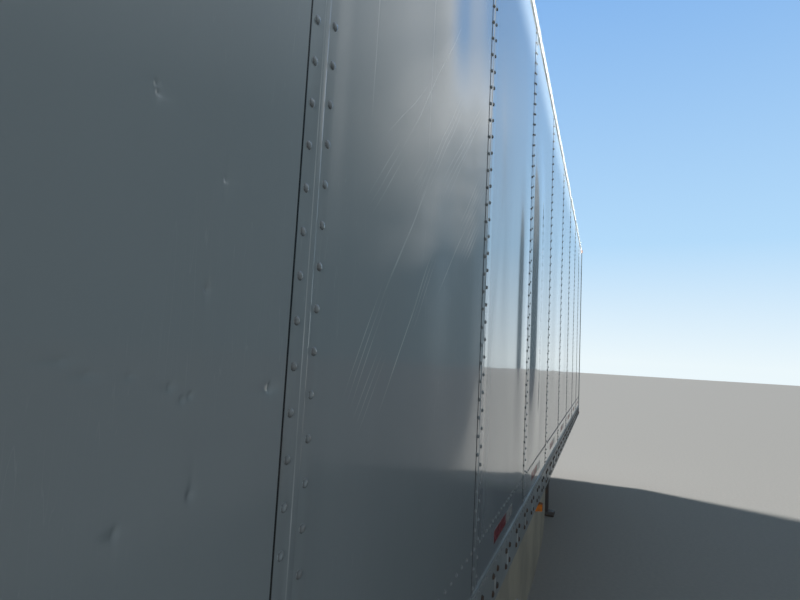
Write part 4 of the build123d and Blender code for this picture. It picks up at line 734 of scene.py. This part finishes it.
for side, sign in (("left", 1.0), ("right", -1.0)):
    body = side + "_door"
    round_head = dome(0.0085, 0.0045, "x", -1.0, 10)
    small_head = hexagon_head(0.0065, 0.005, "x", -1.0)
    strap_bolts = rows_of([rear - 0.009], sign * np.array([1.035, 1.095, 1.155]), strap_heights)
    strap_bolts = np.vstack([strap_bolts + (0, 0, 0.026), strap_bolts - (0, 0, 0.026)])
    add_piece(body + "_hinge_bolts", [copies(round_head, strap_bolts)], body, galvanised)
    plates, bolts = [], []
    for y in (0.21, 0.87):
        for z in guide_heights:
            plates.append(slab((rear - 0.0045, sign * y - 0.054, z - 0.022),
                               (rear + 0.0005, sign * y + 0.054, z + 0.022), 0.002, 2))
            bolts += [(rear - 0.0045, sign * y + step, z) for step in (-0.044, 0.044)]
    plates.append(copies(small_head, bolts))
    add_piece(body + "_guide_plates", plates, body, cast_steel)
    lips = []
    for inner, outer, low, high, back, front, round_off, steps in (
            (0.015, 1.2, 1.3, 3.93, -0.0035, 0.0005, 0.0014, 2),
            (0.0044, 1.2136, 1.2884, 3.9416, -0.001, 0.028, 0.0008, 1)):
        for y0, y1, z0, z1 in ((door_in, inner, door_foot, door_top), (outer, door_out, door_foot, door_top),
                               (door_in, door_out, door_foot, low), (door_in, door_out, high, door_top)):
            lips.append(side_slab(sign, (rear + back, y0, z0), (rear + front, y1, z1), round_off, steps))
    add_piece(body + "_seals", lips, body, seal_rubber)
    for label, material, spans in (
            ("_tape_red", tape_red, ((0.03, red_length), (0.4872, red_length), (0.9444, 0.244))),
            ("_tape_white", tape_white, ((0.3094, white_length), (0.7666, white_length)))):
        strips = [side_slab(sign, (tape_back, y, 1.335), (tape_front, y + length, 1.386), 0.0002, 1)
                  for y, length in spans]
        add_piece(body + label, strips, body, material)
corners = [side_slab(sign, (tape_back, y0, z0), (tape_front, y1, 4.03), 0.0002, 1)
           for sign in (-1.0, 1.0) for y0, y1, z0 in ((1.236, 1.287, 3.87), (0.96, 1.236, 3.979))]
add_piece("header_tape", corners, "trailer", tape_white)
plate_blank = finish(
    "blank plate", (0.6, 0.61, 0.6), (0.45, 0.45, 0.43), rough=(0.3, 0.5), metal=0.1, patch=(20.0, 0.3),
    film=(1.6, 0.5), bump=0.05)
plate_bolts = copies(dome(0.006, 0.004, "x", -1.0, 8),
                     rows_of([rear - 0.002], [-0.13, 0.13], [1.14, 1.262]))
plate = slab((rear - 0.002, -0.1525, 1.125), (rear + 0.0004, 0.1525, 1.277), 0.0009, 2)
add_piece("number_plate_blank", [plate, plate_bolts], "trailer", plate_blank)
dress(frame_paint, "rear_frame")
dress(door_paint, "left_door_panel", "right_door_panel")
dress(galvanised, "left_door_hinges", "right_door_hinges", "hinge_brackets", "left_lock_rods",
      "right_lock_rods")
dress(cast_steel, "left_rod_guides", "right_rod_guides")
dress(rubber, "dock_bumpers", "mud_flaps")


# Guard, coupler, landing gear and tandem frame: welded and folded steel, painted black and rusty at
# its worn edges. The kingpin is forged and machined, and stays bare; the nose couplings are castings.

guard_paint = finish(
    "guard and leg paint", (0.022, 0.024, 0.028), (0.09, 0.055, 0.04), rough=(0.4, 0.75), patch=(8.0, 0.25),
    film=(1.2, 0.5), bared=(0.17, 0.09, 0.055), wear=(0.003,))
bright_steel = finish(
    "machined steel", (0.42, 0.41, 0.4), (0.22, 0.17, 0.14), rough=(0.28, 0.5), metal=0.9,
    patch=(18.0, 0.35), film=(1.6, 0.3), bump=0.08)
dress(guard_paint, "rear_guard", "coupler_plate", "leg_braces", "leg_feet", "leg_tubes", "leg_drive",
      "slider_rails", "tandem_frame", "spring_hangers", "equalizers", "torque_rods", "axles",
      "brake_chambers")
dress(bright_steel, "kingpin")
dress(cast_steel, "nose_couplings")


# Side skirts: cream white composite sheet in three lengths, bolted under the body at each cross
# member and, lower down, to folded and galvanised struts.

skirt_cream = finish(
    "skirt sheet", (0.56, 0.52, 0.41), (0.4, 0.38, 0.31), rough=(0.4, 0.6),
    patch=(2.2, 0.35, (1.0, 1.0, 0.5)), film=(1.5, 0.75), bump=0.06)
dress(skirt_cream, "skirts")
skirt_face, strut_x = 1.266, (-1.9809, -0.7617, 0.7623)
strut_bolt_z, top_bolt_z = (0.712, 0.748), 1.085
for side, sign in both_sides:
    bolt = hexagon_head(0.009, 0.006, "y", sign)
    low_bolts = rows_of(strut_x, [sign * skirt_face], strut_bolt_z)
    top_bolts = rows_of(member_x[(member_x > -2.5) & (member_x < 2.25)], [sign * skirt_face], [top_bolt_z])
    rows = np.vstack([low_bolts, top_bolts])
    add_piece(side + "_skirt_bolts", [copies(bolt, rows)], "trailer", galvanised)
dress(galvanised, "skirt_struts")


# Springs, tanks, wheels and tyres: nested steel leaves are clamped to the axles by U-bolts under a
# top plate. Pressed steel discs, painted white, hold rubber tyres in pairs, with ten nuts to a pair.

spring_steel = finish(
    "spring leaves", (0.05, 0.048, 0.046), (0.16, 0.09, 0.06), rough=(0.5, 0.8), metal=0.3,
    patch=(12.0, 0.45), film=(1.3, 0.7))
tank_paint = finish(
    "tank paint", (0.04, 0.042, 0.045), (0.09, 0.07, 0.06), patch=(10.0, 0.3),
    film=(1.5, 0.7))
wheel_white = finish(
    "wheel paint", (0.55, 0.56, 0.55), (0.35, 0.27, 0.2), patch=(14.0, 0.3),
    film=(1.3, 0.7), bared=(0.22, 0.12, 0.07), wear=(0.003,))
cast_iron = finish(
    "cast iron", (0.1, 0.075, 0.06), (0.18, 0.1, 0.065), rough=(0.55, 0.8), metal=0.4, patch=(20.0, 0.5),
    film=(1.2, 0.5))
tyre_rubber = finish(
    "tyre rubber", (0.018, 0.018, 0.019), (0.045, 0.042, 0.04), rough=(0.65, 0.85), patch=(7.0, 0.4),
    film=(1.25, 0.65), bump=0.2)


def rod_along(path, radius, sides=8):
    """A round bar: a circle set square to the path at each of its points, closed at both ends."""
    path = np.asarray(path, float)
    along = np.gradient(path, axis=0)
    along /= np.linalg.norm(along, axis=1)[:, None]
    first = np.cross(along, (0.0, 1.0, 0.0))
    first /= np.linalg.norm(first, axis=1)[:, None]
    second = np.cross(along, first)
    path = np.vstack([path[:1], path, path[-1:]])
    first, second = (np.vstack([row[:1], row, row[-1:]]) for row in (first, second))
    size = np.full(len(path), radius)
    size[[0, -1]] = 0
    angle = np.arange(sides) * 2 * pi / sides
    ring = np.cos(angle)[None, :, None] * first[:, None] + np.sin(angle)[None, :, None] * second[:, None]
    points = path[:, None] + size[:, None, None] * ring
    return points.reshape(-1, 3), [grid_faces(len(path), sides, ring=True)]


axle_x, axle_z = (-5.572, -6.817), 0.51
spring_y, u_half, cap_foot, cap_top = 0.5, 0.0725, 0.6276, 0.6425
bend = np.linspace(0, pi, 13)
u_side = np.array([(u_half, 0.0, z) for z in (0.66, 0.585, 0.525)])
u_bend = np.stack([u_half * np.cos(bend), 0 * bend, axle_z - u_half * np.sin(bend)], -1)
u_bolt = rod_along(np.vstack([u_side, u_bend, (u_side * (-1, 1, 1))[::-1]]), 0.008)
seats = [(x, sign * spring_y, 0.0) for x in axle_x for sign in (-1, 1)]
clamps = [(x, y + step, 0.0) for x, y, _ in seats for step in (-0.047, 0.047)]
nut = hexagon_head(0.0125, 0.013, "z")
top_nuts = copies(nut, [(x + step, y, cap_top) for x, y, _ in clamps for step in (-u_half, u_half)])
caps = [slab((x - 0.094, y - 0.064, cap_foot), (x + 0.094, y + 0.064, cap_top), 0.004, 2)
        for x, y, _ in seats]
add_piece("spring_u_bolts", [copies(u_bolt, clamps), top_nuts], "tandem", bolt_black)
add_piece("spring_top_plates", caps, "tandem", guard_paint)
dress(spring_steel, "leaf_springs")
dress(tank_paint, "air_tanks")


def flowing(points, steps):
    """A Catmull-Rom curve: between two points, the cubic whose slopes come from their neighbours."""
    p = np.asarray(points, float)
    p = np.vstack([2 * p[0] - p[1], p, 2 * p[-1] - p[-2]])
    a, b, c, d = p[:-3], p[1:-2], p[2:-1], p[3:]
    t = (np.arange(steps) / steps)[:, None, None]
    curve = 2 * b + (c - a) * t + (2 * a - 5 * b + 4 * c - d) * t ** 2 + (3 * b - a - 3 * c + d) * t ** 3
    curve = curve / 2
    return np.vstack([curve.transpose(1, 0, 2).reshape(-1, 2), p[-2:-1]])


tread_half = [(0.0, 0), (0.012, 0), (0.0245, 0), (0.0258, 1), (0.031, 1), (0.0323, 0), (0.046, 0),
              (0.06, 0), (0.0735, 0), (0.0748, 1), (0.08, 1), (0.0813, 0), (0.092, 0), (0.104, 0),
              (0.1125, 0)]
tread_depth, slot_depth, pitches = 0.013, 0.008, 48


def tyre_shell(x, y):
    """One tyre: a cross-section of side walls, ribbed tread and liner turned about the axle. The grooves
    wander sideways in a zigzag, and the shoulders drop into a slot once every pitch."""
    wall = flowing([(0.1065, 0.2868), (0.108, 0.302), (0.119, 0.335), (0.1345, 0.372), (0.1386, 0.408),
                    (0.1355, 0.445), (0.127, 0.474), (0.1185, 0.492)], 2)
    wall[:, 0] += 0.0012 * np.exp(-((wall[:, 1] - 0.352) / 0.004) ** 2)
    liner = flowing([(0.1065, 0.2868), (0.098, 0.2868), (0.101, 0.33), (0.118, 0.385), (0.115, 0.44),
                     (0.085, 0.478), (0.0, 0.486)], 2)
    half = np.array(tread_half)
    tread = np.vstack([half[::-1] * (-1, 1), half[1:]])
    crown = 0.5095 - 0.0085 * (tread[:, 0] / 0.1125) ** 4 - tread_depth * tread[:, 1]
    across = np.concatenate([-wall[:, 0], tread[:, 0], wall[::-1, 0], liner[1:, 0], -liner[-2:0:-1, 0]])
    radius = np.concatenate([wall[:, 1], crown, wall[::-1, 1], liner[1:, 1], liner[-2:0:-1, 1]])
    outside = np.zeros(len(across))
    outside[len(wall):len(wall) + len(tread)] = 1
    shares = np.tile([0.0, 0.66, 0.72, 0.94], pitches)
    turn = (np.repeat(np.arange(pitches), 4) + shares) * 2 * pi / pitches
    zigzag = 0.0032 * np.abs((turn * pitches / 4 / pi) % 1 * 2 - 1) - 0.0016
    in_grooves = outside * (np.abs(across) > 0.02) * (np.abs(across) < 0.083)
    on_shoulder = outside * (np.abs(across) > 0.085) * np.clip((np.abs(across) - 0.085) / 0.01, 0, 1)
    side = across[None] + zigzag[:, None] * in_grooves[None]
    far = radius[None] - slot_depth * on_shoulder[None] * ((shares > 0.7)[:, None])
    points = np.stack([x + far * np.cos(turn)[:, None], y + side, axle_z + far * np.sin(turn)[:, None]], -1)
    points = np.concatenate([points, points[:1]])
    return points.reshape(-1, 3), [grid_faces(*points.shape[:2], ring=True)]


stud = [(0.018, 0), (0.018, 0.0095), (0.033, 0.0095), (0.0355, 0.007), (0.0355, 0)]
tyre_y, stud_circle, disc_face = (0.813, 1.156), 0.1429, 0.9957
circle = np.arange(10) * 2 * pi / 10
circle_x, circle_z = stud_circle * np.cos(circle), stud_circle * np.sin(circle)
for x, axle in zip(axle_x, ("front", "rear")):
    for side, sign in (("left", 1.0), ("right", -1.0)):
        station = f"{axle}_{side}_"
        tyres = [tyre_shell(x, sign * y) for y in tyre_y]
        add_piece(station + "treaded_tyres", tyres, station + "wheels", tyre_rubber, crease=50,
                  cover=(station + "tyres",))
        nut = hexagon_head(0.0185, 0.021, "y", sign)
        bolt = joined(nut, turned(stud, 10, "y", sign))
        ring = np.stack([x + circle_x, 0 * circle + sign * disc_face, axle_z + circle_z], -1)
        add_piece(station + "wheel_nuts", [copies(bolt, ring)], station + "wheels",
                  galvanised)
        dress(wheel_white, station + "disc_wheels")
        dress(cast_iron, station + "hub_and_drum")


# Lamps: moulded plastic lenses, amber and red, with fine flutes. They are set in the rear frame, its
# header and the bottom rails.

def lens(name, colour):
    """A tinted lens: glossy, lightly fluted, with the grime of the road in its lower part."""
    material = finish(
        name, colour, tuple(c * 0.6 for c in colour), rough=(0.12, 0.3), coat=0.6, patch=(25.0, 0.3),
        film=(1.5, 0.4), bump=0.05)
    tree = material.node_tree
    flutes = shade(tree, "TexWave", {"Vector": place_on(tree), "Scale": 60.0}, bands_direction="Z")
    bump = next(node for node in tree.nodes if node.type == "BUMP")
    second = shade(tree, "Bump", {"Height": flutes.outputs["Fac"], "Strength": 0.25, "Distance": 0.001,
                                  "Normal": bump.outputs["Normal"]})
    tree.links.new(second.outputs["Normal"], tree.nodes["Principled BSDF"].inputs["Normal"])
    return material


dress(lens("amber lens", (0.75, 0.22, 0.015)), "amber_lamps")
dress(lens("red lens", (0.42, 0.012, 0.01)), "red_lamps")


# Floor, light and camera: a pale floor, a soft sun and a pale sky. The sky's dark side and two lamps
# that no camera sees stand for the gap between parked trailers, where the photograph was taken.

floor_mesh = bpy.data.meshes.new("studio_floor")
floor_mesh.from_pydata([(-90, -90, 0), (90, -90, 0), (90, 90, 0), (-90, 90, 0)], [], [(0, 1, 2, 3)])
floor = placed("studio_floor", floor_mesh)
floor_material, tree, shader = blank("pale floor")
place = place_on(tree)
speck = noise(tree, place, 24.0, 4.0)["Fac"]
pale = ramp(tree, speck, (0.3, (0.545, 0.54, 0.525)), (0.7, (0.595, 0.585, 0.565)))
spot = parts_of(tree, place)
# For glossy rays only, the floor beside the right side is painted dark: a painted shadow, seen in the walls'
# reflections.
level = sloped(tree, spot["X"], -1.2, 8.4, clamp=True)
outwards = sloped(tree, spot["X"], -0.207, sloped(tree, spot["Y"], -1.0, -1.41))
gap_shadow_in_reflections = maths(tree, "MAXIMUM", level, product(tree, outwards, 1.5, clamp=True))
beside = sloped(tree, spot["Y"], -2.0, -2.6, clamp=True)
gap_shadow_in_reflections = product(tree, gap_shadow_in_reflections, beside)
gap_shadow_in_reflections = product(tree, gap_shadow_in_reflections, shade(tree, "LightPath").outputs["Is Glossy Ray"])
colour = mixed(tree, gap_shadow_in_reflections, pale, (0.07, 0.075, 0.085, 1))
feed(tree, shader, {"Base Color": colour, "Roughness": 0.9})
floor_mesh.materials.append(floor_material)

world = bpy.data.worlds.new("studio sky")
bpy.context.scene.world = world
world.use_nodes = True
tree = world.node_tree
tree.nodes.clear()
direction = shade(tree, "TexCoord").outputs["Generated"]
parts = parts_of(tree, direction)
rays = shade(tree, "LightPath").outputs
seen_sky = ramp(tree, parts["Z"], (0.0, (0.84, 0.94, 0.98)), (0.2, (0.46, 0.71, 0.96)),
                (0.6, (0.22, 0.45, 0.84)))
open_way = product(tree, sloped(tree, parts["X"], 0.207, parts["Y"]), 60.0, clamp=True)
half_open = product(tree, sloped(tree, parts["X"], 0.6, parts["Y"]), 3.6, clamp=True)
drift = noise(tree, direction, 5.5, 3.0, Distortion=0.6)["Fac"]
raised = maths(tree, "ADD", sloped(tree, parts["Z"], 3.3, -1.35), product(tree, drift, 1.6), clamp=True)
side_sky = ramp(tree, parts["Z"], (0.0, (0.065, 0.105, 0.135)), (0.4, (0.11, 0.17, 0.215)),
                (0.75, (0.6, 0.7, 0.8)))
side_sky = mixed(tree, product(tree, half_open, raised), side_sky, (0.96, 0.99, 1.0, 1))
above = sloped(tree, parts["Z"], 9.0, -3.7, clamp=True)
beyond = product(tree, sloped(tree, parts["X"], 0.31, parts["Y"]), 14.0, clamp=True)
side_sky = mixed(tree, product(tree, above, beyond), side_sky, seen_sky)
mirrored = mixed(tree, open_way, side_sky, seen_sky)
pane = shade(tree, "Background", {"Color": seen_sky})
mirror = shade(tree, "Background", {"Color": mirrored})
soft = shade(tree, "Background", {"Color": (0.66, 0.86, 1.0, 1), "Strength": 0.12})
glossy = shade(tree, "MixShader", {"Fac": rays["Is Glossy Ray"], 1: soft.outputs[0], 2: mirror.outputs[0]})
seen = maths(tree, "MAXIMUM", rays["Is Camera Ray"], rays["Is Transmission Ray"])
final = shade(tree, "MixShader", {"Fac": seen, 1: glossy.outputs[0], 2: pane.outputs[0]})
tree.links.new(final.outputs[0], shade(tree, "OutputWorld").inputs["Surface"])


def lit(name, kind, energy, colour, back, **settings):
    """A light that shines away from the vector behind its back."""
    light = bpy.data.lights.new(name, kind)
    for key, value in {"energy": energy, "color": colour, **settings}.items():
        setattr(light, key, value)
    lamp = placed(name, light)
    lamp.rotation_euler = Vector(back).to_track_quat("Z", "Y").to_euler()
    return lamp


lit("soft_sun", "SUN", 2.9, (1.0, 0.965, 0.91), (0.24, 0.66, 0.68), angle=radians(5))
rear_place, strip_place = Vector((-24.0, -7.5, 4.5)), Vector((0.0, -4.6, 5.5))
rear_lamp = lit(
    "rear_lamp", "AREA", 80.0, (0.95, 0.97, 1.0), rear_place - Vector((-5.0, -0.5, 1.8)), shape="DISK",
    size=4.0, spread=radians(50))
edge_strip = lit(
    "edge_strip", "AREA", 44.0, (1.0, 0.98, 0.94), strip_place - Vector((0.0, -1.3, 3.97)),
    shape="RECTANGLE", size=15.8, size_y=0.24, spread=radians(5))
for lamp, place in ((rear_lamp, rear_place), (edge_strip, strip_place)):
    lamp.location = place
    lamp.visible_camera = False
    lamp.visible_glossy = False

camera = bpy.data.cameras.new("photo_camera")
camera.sensor_width = 36.0
camera.lens = 24.25
camera.clip_start = 0.02
camera_object = placed("photo_camera", camera)
eye = (-2.4128, -1.691, 2.0894)
yaw, pitch, roll = radians(20.82), radians(5.32), radians(2.99)
ahead = Vector((cos(yaw) * cos(pitch), sin(yaw) * cos(pitch), sin(pitch)))
right = Vector((sin(yaw), -cos(yaw), 0.0))
up = right.cross(ahead)
tilted_right = cos(roll) * right + sin(roll) * up
tilted_up = cos(roll) * up - sin(roll) * right
camera_object.matrix_world = Matrix.Translation(eye) @ Matrix(
    (tilted_right, tilted_up, -ahead)).transposed().to_4x4()
bpy.context.scene.camera = camera_object
bpy.context.scene.view_settings.view_transform = "Standard"
